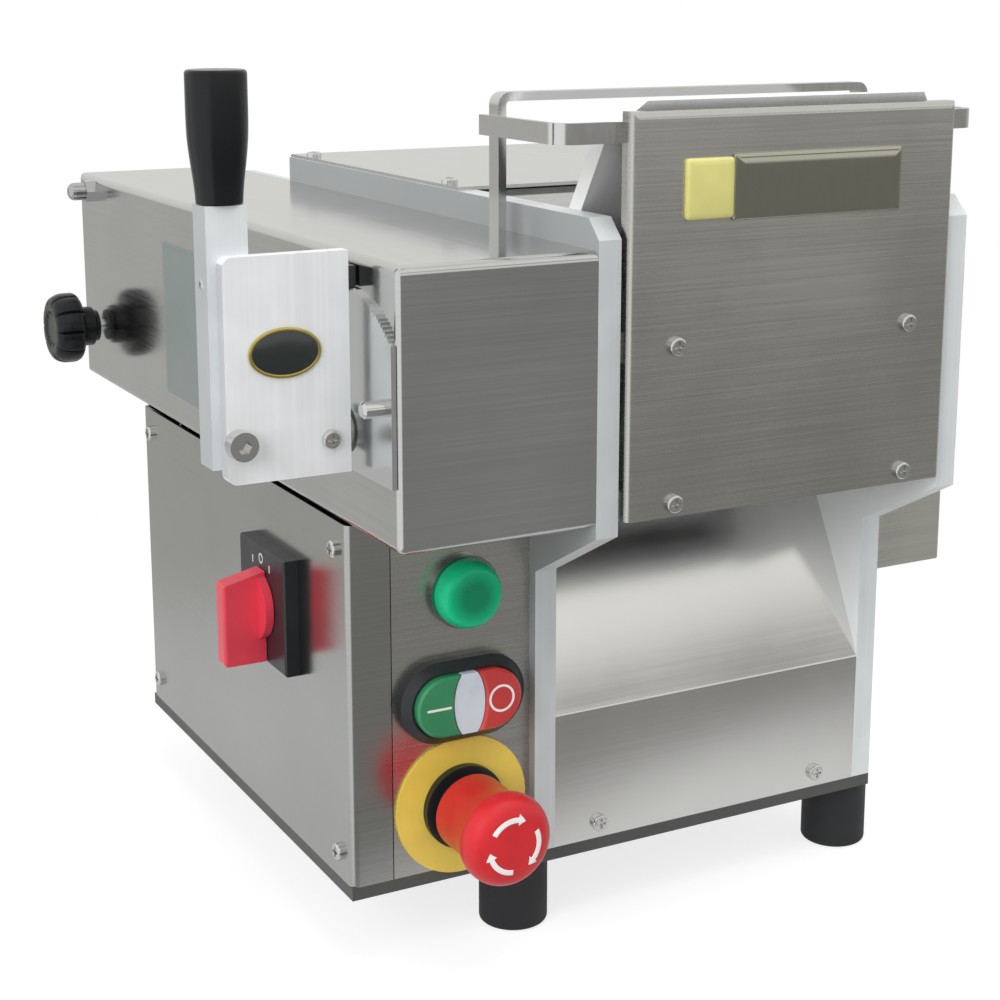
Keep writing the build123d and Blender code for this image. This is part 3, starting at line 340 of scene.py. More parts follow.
@dataclass(frozen=True)
class MilledMetal(Finish):
    """Satin metal with fine tool marks, a slightly mottled tone, and faces along X whose colour is scaled by side:
    painted light above 1, painted shade below 1.
    """

    grain: Grain = Grain.UPRIGHT
    metal: float = 1.0
    # Factor on the colour of faces that look along X: painted light above 1, painted shade below 1.
    side: float = 1.0
    relief: float = 0.06

    def build(self, bench: Bench) -> None:
        """Fine marks ride on a soft mottle in tone and roughness; faces that look along X take the colour times
        side, painted light above 1 and painted shade below 1.

        Args:
            bench: material to fill in.
        """
        marks = bench.noise(tuple(s * 0.5 for s in self.grain.value), 3.0)
        mottle = bench.noise((60.0, 60.0, 60.0), 5.0)
        tone = bench.mix(mottle, marks, mottle)
        # Lighter or darker copy of the colour for faces along X: painted light or painted shade, set by the side
        # factor.
        ground = shade(self.colour, self.side)
        bench.face_shaded_tones(
            tone, bench.facing("X"),
            (shade(self.colour, 0.93), shade(self.colour, 1.05)), (shade(ground, 0.96), shade(ground, 1.03)),
        )
        bench.rough(mottle, self.roughness, 0.85, 1.15)
        bench.set(Metallic=self.metal)
        bench.bump(marks, self.relief, SKIN_DEPTH)


@dataclass(frozen=True)
class BrightMetal(Finish):
    """Polished or plated metal with a few hairline marks."""

    def build(self, bench: Bench) -> None:
        """Roughness alone shows the handling marks.

        Args:
            bench: material to fill in.
        """
        marks = bench.noise((700.0, 500.0, 90.0), 4.0)
        bench.tint(marks, shade(self.colour, 0.975), self.colour)
        bench.rough(marks, self.roughness, 0.85, 1.2)
        bench.set(Metallic=1.0)


@dataclass(frozen=True)
class Moulded(Finish):
    """Moulded plastic with a fine spark-eroded skin."""

    skin: float = 0.10
    coat: float = 0.0
    gloss: float = 0.5

    def build(self, bench: Bench) -> None:
        """Skin texture in the bump, faint tone change from the moulding.

        Args:
            bench: material to fill in.
        """
        skin = bench.noise((2600.0, 2600.0, 2600.0), 2.0)
        flow = bench.noise((45.0, 45.0, 45.0), 3.0)
        bench.tint(flow, shade(self.colour, 0.90), shade(self.colour, 1.08))
        bench.rough(flow, self.roughness, 0.85, 1.15)
        bench.set(Coat_Weight=self.coat, Coat_Roughness=0.08, Specular_IOR_Level=self.gloss)
        bench.bump(skin, self.skin, SKIN_DEPTH)


@dataclass(frozen=True)
class LitLens(Finish):
    """Coloured lamp lens with painted light and shade: pale at its rim and deeper towards its middle."""

    middle: tuple[float, float, float] = (0.0, 0.0, 0.0)
    reach: float = 0.015

    def build(self, bench: Bench) -> None:
        """A spherical gradient about the lens's middle paints the rim lighter and the middle deeper, painted light
        and shade on the dome.

        Args:
            bench: material to fill in.
        """
        mapping = bench.node("ShaderNodeMapping", vector_type="TEXTURE")
        mapping.inputs["Location"].default_value = self.middle
        mapping.inputs["Scale"].default_value = (self.reach,) * 3
        gradient = bench.node("ShaderNodeTexGradient", gradient_type="SPHERICAL")
        bench.link(bench.place, mapping.inputs["Vector"])
        bench.link(mapping.outputs["Vector"], gradient.inputs["Vector"])
        bench.tint(gradient.outputs["Fac"], shade(self.colour, 1.35), shade(self.colour, 0.62))
        haze = bench.noise((90.0, 90.0, 90.0), 3.0)
        bench.rough(haze, self.roughness, 0.8, 1.2)
        bench.set(Coat_Weight=0.1, Coat_Roughness=0.06, Specular_IOR_Level=0.3)
        bench.set(Subsurface_Weight=0.15, Subsurface_Scale=0.004)


STEEL = (0.58, 0.575, 0.54)
SHEET = BrushedSteel("brushed_sheet", STEEL, 0.27, relief=0.07, streak=0.30)
MIRROR_SHEET = BrushedSteel("bright_sheet", (0.60, 0.61, 0.60), 0.15, relief=0.03, streak=0.30)
# Darker copy of the stainless sheet for the lower box: painted shade on its faces.
BOX_SHEET = BrushedSteel("box_sheet", (0.47, 0.48, 0.46), 0.20, relief=0.03, streak=0.30)
# Lighter, warmer copy of the stainless sheet for the right cover: painted light.
RIGHT_SHEET = BrushedSteel("right_sheet", (0.84, 0.84, 0.76), 0.30, relief=0.05, streak=0.30)
# Lighter copy of the stainless sheet for the chute: painted reflection that brightens its slope.
CHUTE_SHEET = BrushedSteel("chute_sheet", (0.79, 0.785, 0.765), 0.17, relief=0.01, streak=0.12, wear=0.015)
GUARD = BrightMetal("guard_steel_polished", (0.66, 0.66, 0.65), 0.14)
SECTOR = BrightMetal("sector_bright", (0.72, 0.735, 0.74), 0.20)
# side=0.66 paints the plate's faces along X darker: painted shade.
PLATE = MilledMetal("side_plate_satin", (0.66, 0.69, 0.70), 0.45, metal=0.45, side=0.66)
# side=1.45 paints the right plate's faces along X lighter: painted light on an inner face that stands in shade.
RIGHT_PLATE = MilledMetal("right_plate_satin", (0.66, 0.69, 0.70), 0.40, metal=0.06, side=1.45)
# side=0.66 paints the lever plate's and lever bar's faces along X darker: painted shade.
LEVER = MilledMetal("lever_satin", (0.84, 0.86, 0.87), 0.48, metal=0.35, side=0.66)
LEVER_BAR = MilledMetal("lever_bar_satin", (0.74, 0.77, 0.785), 0.46, metal=0.35, side=0.66)
# Pale colour with little metal on the hopper's front plate: painted light on a face that sits in the front panel's
# shade.
HOPPER = MilledMetal("hopper_satin", (0.86, 0.87, 0.86), 0.42, metal=0.25)
BASE = Moulded("base_dark_paint", (0.065, 0.068, 0.062), 0.45)
RUBBER = Moulded("foot_black_rubber", (0.012, 0.013, 0.015), 0.62, skin=0.25)
SCREW = BrightMetal("screw_bright", (0.66, 0.66, 0.65), 0.14)
NUT = BrightMetal("nut_plated", (0.46, 0.47, 0.47), 0.12)
BEZEL = BrightMetal("bezel_dark_chrome", (0.30, 0.32, 0.31), 0.12)
PAWL = MilledMetal("pawl_hardened", (0.13, 0.14, 0.14), 0.35)
SHAFT = BrightMetal("shaft_ground", (0.60, 0.61, 0.62), 0.22)
BRONZE = MilledMetal("bush_bronze_turned", (0.62, 0.43, 0.20), 0.35)
DARK_BRONZE = MilledMetal("bush_bronze_oiled", (0.16, 0.13, 0.09), 0.35)
MOTOR = Moulded("motor_grey_paint", (0.16, 0.18, 0.19), 0.42)
GRIP = Moulded("grip_black_phenolic", (0.007, 0.008, 0.009), 0.20, skin=0.02, gloss=0.28)
BLACK = Moulded("control_black", (0.012, 0.014, 0.017), 0.38)
GREEN = Moulded("start_green", (0.028, 0.23, 0.095), 0.34, coat=0.2)
RED = Moulded("stop_red", (0.52, 0.040, 0.038), 0.30, coat=0.2)
ESTOP_RED = Moulded("estop_red", (0.58, 0.018, 0.024), 0.32, skin=0.02, coat=0.05, gloss=0.4)
SWITCH_RED = Moulded("switch_red", (0.68, 0.045, 0.075), 0.34, coat=0.2)
YELLOW = Moulded("disc_yellow", (0.76, 0.56, 0.085), 0.42)
PALE = Moulded("lens_pale", (0.60, 0.66, 0.72), 0.30, coat=0.3)
MARK = Moulded("mark_white", (0.83, 0.80, 0.78), 0.45)
SWITCH_MARK = Moulded("switch_mark_grey", (0.55, 0.57, 0.58), 0.45)
TILE = Moulded("tile_cream", (0.62, 0.58, 0.20), 0.22, skin=0.02, coat=0.5)
STRIP = BrightMetal("badge_strip_polished", (0.42, 0.42, 0.35), 0.08)
OVAL_RIM = BrightMetal("oval_rim_gilt", (0.62, 0.50, 0.16), 0.22)
OVAL_FIELD = Moulded("oval_black_enamel", (0.010, 0.015, 0.014), 0.22, skin=0.02, coat=0.6)
LABEL = MilledMetal("label_foil_grey", (0.22, 0.255, 0.245), 0.45, metal=0.15)


def weld(mesh: bpy.types.Mesh) -> None:
    """Merge seams and poles of a grid surface and turn its faces outwards.

    Args:
        mesh: mesh made from a grid.
    """
    work = bmesh.new()
    work.from_mesh(mesh)
    bmesh.ops.remove_doubles(work, verts=work.verts, dist=2e-6)
    bmesh.ops.dissolve_degenerate(work, edges=work.edges, dist=1e-6)
    bmesh.ops.recalc_face_normals(work, faces=work.faces)
    work.to_mesh(mesh)
    work.free()


def surface(name: str, grid: np.ndarray, smooth: float = 40.0) -> bpy.types.Object:
    """Object from a grid of points, one quad between each four neighbours.

    Args:
        name: piece's name.
        grid: rows by columns by 3 points, in metres.
        smooth: edge angle in degrees under which faces blend.

    Returns:
        The linked object, at the origin.
    """
    rows, columns = grid.shape[:2]
    index = np.arange(rows * columns).reshape(rows, columns)
    quads = np.stack([index[:-1, :-1], index[:-1, 1:], index[1:, 1:], index[1:, :-1]], axis=-1).reshape(-1, 4)
    mesh = bpy.data.meshes.new(name)
    mesh.vertices.add(rows * columns)
    mesh.vertices.foreach_set("co", grid.astype(np.float32).ravel())
    mesh.loops.add(quads.size)
    mesh.loops.foreach_set("vertex_index", quads.astype(np.int32).ravel())
    mesh.polygons.add(len(quads))
    mesh.polygons.foreach_set("loop_start", np.arange(0, quads.size, 4, dtype=np.int32))
    mesh.update(calc_edges=True)
    weld(mesh)
    mesh.shade_smooth()
    mesh.set_sharp_from_angle(angle=math.radians(smooth))
    piece = bpy.data.objects.new(name, mesh)
    bpy.context.scene.collection.objects.link(piece)
    return piece


def rounded_outline(width: float, height: float, radius: float, steps: int = 9) -> np.ndarray:
    """Closed outline of a rectangle with round corners: four quarter circles joined end to end.

    Args:
        width: full size across.
        height: full size up.
        radius: corner radius.
        steps: points on each corner.

    Returns:
        Points by 2, the first repeated at the end.
    """
    turn = np.linspace(0.0, math.pi / 2, steps)
    start = np.repeat(np.arange(4) * math.pi / 2, steps) + np.tile(turn, 4)
    side = np.repeat(np.array([[1, 1], [-1, 1], [-1, -1], [1, -1]]), steps, axis=0)
    corner = side * np.array([width / 2 - radius, height / 2 - radius])
    points = corner + radius * np.stack([np.cos(start), np.sin(start)], axis=-1)
    return np.vstack([points, points[:1]])


def oval_outline(width: float, height: float, steps: int = 72) -> np.ndarray:
    """Closed ellipse: half width times the cosine and half height times the sine of one turn."""
    turn = np.linspace(0.0, math.tau, steps + 1)
    return np.stack([width / 2 * np.cos(turn), height / 2 * np.sin(turn)], axis=-1)


def stacked(outlines: Sequence[np.ndarray], heights: Sequence[float]) -> np.ndarray:
    """Closed plate from outlines stacked outwards, its first and last rows drawn in to their middles.

    Args:
        outlines: closed outlines with the same number of points.
        heights: how far each stands out.

    Returns:
        Grid of local points.
    """
    flat = np.stack(outlines)
    out = np.broadcast_to(np.array(heights)[:, None, None], (*flat.shape[:2], 1))
    rows = np.concatenate([flat, out], axis=-1)
    back = np.broadcast_to(rows[0].mean(axis=0), rows[0].shape)
    face = np.broadcast_to(rows[-1].mean(axis=0), rows[-1].shape)
    return np.concatenate([back[None], rows, face[None]])


def rounded_line(
    corners: Sequence[tuple[float, float]], radii: Sequence[float], steps: int = 7
) -> np.ndarray:
    """Profile through corners, each inner corner eased by a quadratic curve of about the given radius.

    Args:
        corners: profile points.
        radii: one radius for each corner, 0 for a sharp one.
        steps: points on each eased corner.

    Returns:
        Points by 2.
    """
    line = np.array(corners, float)
    parts = [line[:1]]
    t = np.linspace(0.0, 1.0, steps)[:, None]
    for before, here, after, radius in zip(line[:-2], line[1:-1], line[2:], radii[1:-1]):
        a = here + (before - here) * min(0.5, radius / max(np.linalg.norm(before - here), 1e-9))
        b = here + (after - here) * min(0.5, radius / max(np.linalg.norm(after - here), 1e-9))
        parts.append((1 - t) ** 2 * a + 2 * t * (1 - t) * here + t**2 * b)
    parts.append(line[-1:])
    return np.vstack(parts)


def turned(
    profile: np.ndarray, steps: int = 96, lobes: Callable[[np.ndarray], np.ndarray] | None = None
) -> np.ndarray:
    """Profile of (radius, height) carried round the outward axis, its radius times a lobe pattern if given.

    Args:
        profile: points by 2.
        steps: steps round the turn.
        lobes: factor on the radius as a function of the angle.

    Returns:
        Grid of local points.
    """
    angle = np.linspace(0.0, math.tau, steps + 1)
    radius = profile[:, :1] * (lobes(angle) if lobes else np.ones_like(angle))[None, :]
    out = np.broadcast_to(profile[:, 1:], radius.shape)
    return np.stack([radius * np.cos(angle), radius * np.sin(angle), out], axis=-1)


def mark_plate(name: str, facing: Facing, seat: Vector, outline: np.ndarray) -> bpy.types.Object:
    """Thin plate of one outline, sunk a little in its seat and standing a hair proud of it."""
    return surface(name, facing.place(stacked([outline, outline], [MARK_SINK, MARK_RISE]), seat))


def mark_ring(
    name: str, facing: Facing, seat: Vector, inner: float, outer: float, steps: int
) -> bpy.types.Object:
    """Thin flat ring: a rectangle between two radii, turned about the outward axis.

    Args:
        name: piece's name.
        facing: side that it faces.
        seat: its middle.
        inner: inner radius.
        outer: outer radius.
        steps: steps round the turn.

    Returns:
        The ring.
    """
    line = [(inner, MARK_SINK), (outer, MARK_SINK), (outer, MARK_RISE), (inner, MARK_RISE)]
    line.append(line[0])
    return surface(name, facing.place(turned(np.array(line), steps), seat))


def dress(piece: bpy.types.Object, finish: Finish) -> None:
    """Give a piece one finish on all its faces."""
    piece.data.materials.clear()
    piece.data.materials.append(finish.material())


def finish_piece(
    piece: bpy.types.Object, finish: Finish, body: str, slot: str, *nodes: str
) -> None:
    """Dress a new piece, tie it to its body and hide the nodes that it replaces.

    Args:
        piece: object in place.
        finish: its finish.
        body: body that it rides on.
        slot: record slot that its finish comes from; not used.
        nodes: nodes that it replaces.
    """
    dress(piece, finish)
    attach(piece, body)
    if nodes:
        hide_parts(*nodes)
    LOG.info("piece %s on %s", piece.name, body)


def thicken(piece: bpy.types.Object, depth: float) -> bpy.types.Object:
    """Give an open mark its thickness with a Solidify modifier.

    Args:
        piece: open surface.
        depth: thickness, half on each side.

    Returns:
        The piece.
    """
    solid = piece.modifiers.new("mark_depth", "SOLIDIFY")
    solid.thickness = depth
    solid.offset = 0.0
    return piece


def middle(node: str) -> Vector:
    """Middle of a node's box."""
    low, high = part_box(node)
    return (low + high) / 2


@dataclass
class FrameFinishes:
    """Finishes of the solids that stay as they are."""

    table: dict[str, Finish] = field(
        default_factory=lambda: {
            "left_side_plate": PLATE, "right_side_plate": RIGHT_PLATE, "cross_bars": PLATE,
            "base_plate": BASE, "box_floor": BASE,
            "rear_panel": SHEET, "discharge_chute": CHUTE_SHEET, "front_panel": SHEET,
            "hopper_front_plate": HOPPER, "hopper_rear_plate": MIRROR_SHEET, "rear_table": MIRROR_SHEET,
            "guard_bar": GUARD, "guard_strip": GUARD,
            "gear_cover": MIRROR_SHEET, "right_cover": RIGHT_SHEET, "side_cover": BOX_SHEET,
            "control_panel": SHEET, "box_rear_panel": SHEET,
            "feet": RUBBER, "pan_screws": SCREW, "lever_screws": SCREW, "acorn_nut": NUT, "stop_pin": SCREW,
            "sector_plate": SECTOR, "lever_bar": LEVER_BAR, "lever_plate": LEVER, "index_pawl": PAWL,
            "spindle_bush": DARK_BRONZE, "rear_bearings": BRONZE, "front_bearings": BRONZE,
            "cover_studs": SHAFT, "gear_motor": MOTOR, "idler_axle": SHAFT, "scrapers": SHAFT,
            "pilot_base": BEZEL, "button_body": BLACK, "button_lens": PALE,
            "start_button": GREEN, "stop_button": RED,
            "estop_disc": YELLOW, "estop_body": BLACK, "estop_stem": SHAFT,
            "switch_plate": BLACK, "switch_body": BLACK, "switch_handle": SWITCH_RED, "cable_gland": BLACK,
            "lever_spindle": LEVER_BAR, "link_rod": SHAFT, "eccentric_bushes": SHAFT,
            "front_roller": SHAFT, "rear_roller": SHAFT, "front_gear": SHAFT, "rear_gear": SHAFT,
            "driven_gear": SHAFT, "idler_gear": SHAFT, "motor_pinion": SHAFT,
            "pilot_lens": GREEN, "estop_head": ESTOP_RED, "clamp_knob": GRIP, "lever_grip": GRIP,
        }
    )

    def apply(self) -> None:
        """Dress every node; nodes that a finer piece replaces keep theirs hidden."""
        for name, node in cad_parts.items():
            dress(node, self.table[name])
            LOG.info("node %s in %s", name, self.table[name].name)


@dataclass
class PanelBadges:
    """Bare cream tile and bare polished strip on the front panel."""

    tile_size: tuple[float, float] = (22 * MM, 23.5 * MM)
    tile_left: float = 24 * MM
    tile_rise: float = 2.2 * MM
    strip_size: tuple[float, float] = (82 * MM, 26 * MM)
    strip_rise: float = 2.3 * MM
    strip_round: float = 4.5 * MM
    drop: float = 30 * MM

    def build(self) -> None:
        """Set both on the panel's front face."""
        low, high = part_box("front_panel")
        wide, tall = self.tile_size
        seat = Vector((low.x + self.tile_left + wide / 2, low.y, high.z - self.drop))
        insets = np.array([0.0, 0.0, 0.4, 1.2, 3.0, 6.0]) * MM
        heights = np.array([0.0, 0.55, 0.85, 1.0, 1.0, 1.0]) * self.tile_rise
        outlines = [rounded_outline(wide - 2 * i, tall - 2 * i, max(1.6 * MM - i, 0.2 * MM)) for i in insets]
        tile = surface("badge_tile", Facing.FRONT.place(stacked(outlines, heights), seat))
        finish_piece(tile, TILE, "frame", "yellow_plastic")
        long, high_strip = self.strip_size
        seat = Vector((low.x + self.tile_left + wide + long / 2, low.y, high.z - self.drop))
        turn = np.linspace(0.0, math.pi / 2, 9)
        insets = np.append(0.0, self.strip_round * (1.0 - np.cos(turn)))
        heights = np.append(0.0, self.strip_rise * (0.35 + 0.65 * np.sin(turn)))
        outlines = [rounded_outline(long - 2 * i, high_strip - 2 * i, 0.6 * MM) for i in insets]
        strip = surface("badge_strip", Facing.FRONT.place(stacked(outlines, heights), seat), 60.0)
        finish_piece(strip, STRIP, "frame", "bright_steel")


@dataclass
class Chute:
    """Skirt, bend and chute as one smooth sheet whose slope is slightly rolled."""

    sheet: float = 2.0 * MM
    bend_at: float = 97.5 * MM
    bend_radius: float = 4.0 * MM
    roll: float = 1.6 * MM

    def face(self, steps: int = 48) -> np.ndarray:
        """Front line of the sheet from its foot to its top.

        The foot runs straight up, the bend is a circle arc between the two straight parts, and the slope bows
        out by a parabola that is 0 at both its ends.

        Args:
            steps: points on the slope.

        Returns:
            Points by 2, as Y and Z.
        """
        low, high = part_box("discharge_chute")
        run, rise = high.y - low.y - self.sheet, high.z - self.bend_at
        lean = math.atan2(run, rise)
        back = self.bend_radius * math.tan(lean / 2)
        turn = np.linspace(0.0, lean, 13)
        arc_y = low.y + self.bend_radius * (1.0 - np.cos(turn))
        arc_z = self.bend_at - back + self.bend_radius * np.sin(turn)
        t = np.linspace(0.0, 1.0, steps)[1:]
        bow = 4.0 * self.roll * t * (1.0 - t)
        top = np.array([low.y + run, high.z])
        base = np.array([arc_y[-1], arc_z[-1]])
        slope = base + t[:, None] * (top - base) + bow[:, None] * np.array([-math.cos(lean), math.sin(lean)])
        foot = np.array([[low.y, low.z], [low.y, (low.z + self.bend_at) / 2]])
        return np.vstack([foot, np.stack([arc_y, arc_z], axis=-1), slope])

    def build(self) -> None:
        """Each station of the front line carries a flat four-sided ring, and both end rings are closed."""
        low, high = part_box("discharge_chute")
        front = self.face()
        along = np.gradient(front, axis=0)
        along /= np.linalg.norm(along, axis=1, keepdims=True)
        rear = front + self.sheet * np.stack([along[:, 1], -along[:, 0]], axis=-1)
        rear = np.clip(rear, (low.y, low.z), (high.y, high.z))
        ring = np.stack([front, front, rear, rear, front], axis=1)
        sides = np.array([low.x, high.x, high.x, low.x, low.x])
        across = np.broadcast_to(sides[:, None], (*ring.shape[:2], 1))
        rows = np.concatenate([across, ring], axis=-1)
        ends = np.broadcast_to(rows[[0, -1], :4].mean(axis=1, keepdims=True), (2, 5, 3))
        grid = np.concatenate([ends[:1], rows, ends[1:]])
        sheet = surface("discharge_chute_sheet", grid, 30.0)
        finish_piece(sheet, CHUTE_SHEET, "frame", "steel_sheet", "discharge_chute")


@dataclass
class LeverOval:
    """Bare oval with a gilt rim on the lever plate."""

    size: tuple[float, float] = (28.9 * MM, 19 * MM)
    from_left: float = 23.4 * MM
    from_bottom: float = 47.8 * MM
    rim: float = 1.3 * MM
    rise: float = 0.8 * MM

    def build(self) -> None:
        """Rim as a raised band, field as a flat oval inside it."""
        low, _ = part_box("lever_plate")
        seat = Vector((low.x + self.from_left, low.y, low.z + self.from_bottom))
        wide, tall = self.size
        insets = np.array([0.0, 0.0, 0.2, 0.6, 1.0, 1.2]) * self.rim
        heights = np.array([0.0, 0.6, 1.0, 1.15, 1.0, 0.55]) * self.rise
        outlines = [oval_outline(wide - 2 * i, tall - 2 * i) for i in insets]
        rim = surface("lever_oval_rim", Facing.FRONT.place(stacked(outlines, heights), seat))
        finish_piece(rim, OVAL_RIM, "lever", "bush_bronze")
        field_wide, field_tall = wide - 2 * self.rim, tall - 2 * self.rim
        outlines = [oval_outline(field_wide - i, field_tall - i) for i in (0.0, 0.0, 0.6 * MM)]
        heights = [0.3 * self.rise, 0.78 * self.rise, 0.92 * self.rise]
        plate = surface("lever_oval_field", Facing.FRONT.place(stacked(outlines, heights), seat))
        finish_piece(plate, OVAL_FIELD, "lever", "grip_plastic")


@dataclass
class LeverGrubScrew:
    """Small set screw in the lever bar's left face, sunk in a shallow ring."""

    radius: float = 2.1 * MM
    socket: float = 1.0 * MM
    drop: float = 29.0 * MM
    rise: float = 0.45 * MM
    floor: float = 0.02 * MM

    def build(self) -> None:
        """A turned button with a round socket, on the bar's middle line."""
        low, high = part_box("lever_bar")
        seat = Vector((low.x, (low.y + high.y) / 2, high.z - self.drop))
        corners = [
            (0.0, self.floor), (self.socket, self.floor), (self.socket, self.rise), (self.radius * 0.8, self.rise),
            (self.radius, 0.0), (self.radius, MARK_SINK), (0.0, MARK_SINK),
        ]
        line = rounded_line(corners, [r * MM for r in (0, 0, 0.1, 0.3, 0, 0, 0)])
        screw = surface("lever_grub_screw", Facing.LEFT.place(turned(line, 48), seat))
        finish_piece(screw, SCREW, "lever", "bright_steel")


@dataclass
class CoverLabel:
    """Bare foil label on the gear cover's left wall."""

    from_front: float = 211 * MM
    size: tuple[float, float] = (52 * MM, 73 * MM)
    from_bottom: float = 14.5 * MM
    rise: float = 0.35 * MM

    def build(self) -> None:
        """Thin plate with a fine raised border."""
        low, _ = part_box("gear_cover")
        wide, tall = self.size
        seat = Vector((low.x, low.y + self.from_front + wide / 2, low.z + self.from_bottom + tall / 2))
        insets = np.array([0.0, 0.0, 0.1, 1.4, 1.6]) * MM
        heights = np.array([0.0, 0.8, 1.0, 1.0, 0.65]) * self.rise
        outlines = [rounded_outline(wide - 2 * i, tall - 2 * i, 1.8 * MM) for i in insets]
        plate = surface("cover_label", Facing.LEFT.place(stacked(outlines, heights), seat), 1.0)
        finish_piece(plate, LABEL, "frame", "plate_aluminium")


@dataclass
class LeverGrip:
    """Tapered grip of the lever, a smooth turned form."""

    def build(self) -> None:
        """Foot narrow, widest past its middle, a short eased top."""
        low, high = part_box("lever_grip")
        radius = (high.x - low.x) / 2
        tall = high.z - low.z
        corners = [
            (0.0, 0.0), (radius * 0.76, 0.0), (radius * 0.80, tall * 0.14), (radius * 0.95, tall * 0.40),
            (radius, tall * 0.56), (radius, tall), (0.0, tall),
        ]
        line = rounded_line(corners, (0, 0.6 * MM, 5 * MM, 8 * MM, 8 * MM, 1.6 * MM, 0))
        seat = Vector((middle("lever_grip").x, middle("lever_grip").y, low.z))
        grip = surface("lever_grip_turned", Facing.UP.place(turned(line), seat))
        finish_piece(grip, GRIP, "lever", "grip_plastic", "lever_grip")


@dataclass
class ClampKnob:
    """Fluted clamping knob with a hub and a shallow dished end."""

    lobes: int = 10
    groove: float = 0.085
    sharpness: float = 0.16
    hub_length: float = 10.0 * MM
    hub_radius: float = 10.4 * MM
    bore: float = 3.5 * MM
    bore_depth: float = 19.5 * MM

    def flutes(self, angle: np.ndarray) -> np.ndarray:
        """Radius factor: 1 less a narrow bell-shaped dip at each groove."""
        wave = np.abs(np.sin(angle * self.lobes / 2))
        return 1.0 - self.groove * np.exp(-((wave / self.sharpness) ** 2)) - 0.012 * (1.0 - wave)

    def build(self) -> None:
        """Head and hub are two turned forms on the stud's axis."""
        low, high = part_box("clamp_knob")
        seat = Vector((high.x, middle("clamp_knob").y, middle("clamp_knob").z))
        radius = (high.z - low.z) / 2
        reach = high.x - low.x
        hub = self.hub_length
        corners = [
            (0.0, self.bore_depth), (self.bore, self.bore_depth), (self.bore, hub),
            (radius * 0.86, hub), (radius, hub + 2.0 * MM), (radius, reach - 4.5 * MM),
            (radius * 0.84, reach), (radius * 0.55, reach), (radius * 0.45, reach - 1.0 * MM),
            (0.0, reach - 1.0 * MM),
        ]
        line = rounded_line(corners, [r * MM for r in (0, 0, 0, 1, 2, 3, 2.5, 1, 1, 0)])
        head = surface("clamp_knob_head", Facing.LEFT.place(turned(line, 240, self.flutes), seat))
        finish_piece(head, GRIP, "clamp_knob", "grip_plastic", "clamp_knob")
        wide = self.hub_radius
        corners = [(self.bore, 0.0), (wide * 0.78, 0.0), (wide * 0.80, 2.2 * MM), (wide * 0.98, 2.8 * MM)]
        corners += [(wide, hub + 0.2 * MM), (self.bore, hub + 0.2 * MM), (self.bore, 0.0)]
        line = rounded_line(corners, [r * MM for r in (0, 0.4, 0.5, 0.8, 0.2, 0, 0)])
        sleeve = surface("clamp_knob_hub", Facing.LEFT.place(turned(line), seat))
        finish_piece(sleeve, GRIP, "clamp_knob", "grip_plastic")


@dataclass
class PilotLamp:
    """Pilot lamp lens with a stepped rim and a shallow dome."""

    colour: Colour = (0.002, 0.38, 0.165)
    roughness: float = 0.26
    glow_reach: float = 1.25

    def build(self) -> None:
        """One turned form on the lamp's axis."""
        low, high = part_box("pilot_lens")
        seat = Vector((middle("pilot_lens").x, high.y, middle("pilot_lens").z))
        radius = (high.x - low.x) / 2
        reach = high.y - low.y
        corners = [(0.0, 0.0), (radius, 0.0), (radius, reach * 0.55), (radius * 0.86, reach * 0.95)]
        corners += [(radius * 0.60, reach * 0.99), (0.0, reach)]
        line = rounded_line(corners, (0, 0.3 * MM, 2.5 * MM, 2.5 * MM, 4 * MM, 0))
        lens = surface("pilot_lens_dome", Facing.FRONT.place(turned(line), seat), 70.0)
        centre = tuple(seat - Vector((0, reach, 0)))
        deep = LitLens("pilot_green_lens", self.colour, self.roughness, centre, radius * self.glow_reach)
        finish_piece(lens, deep, "frame", "green_lens", "pilot_lens")


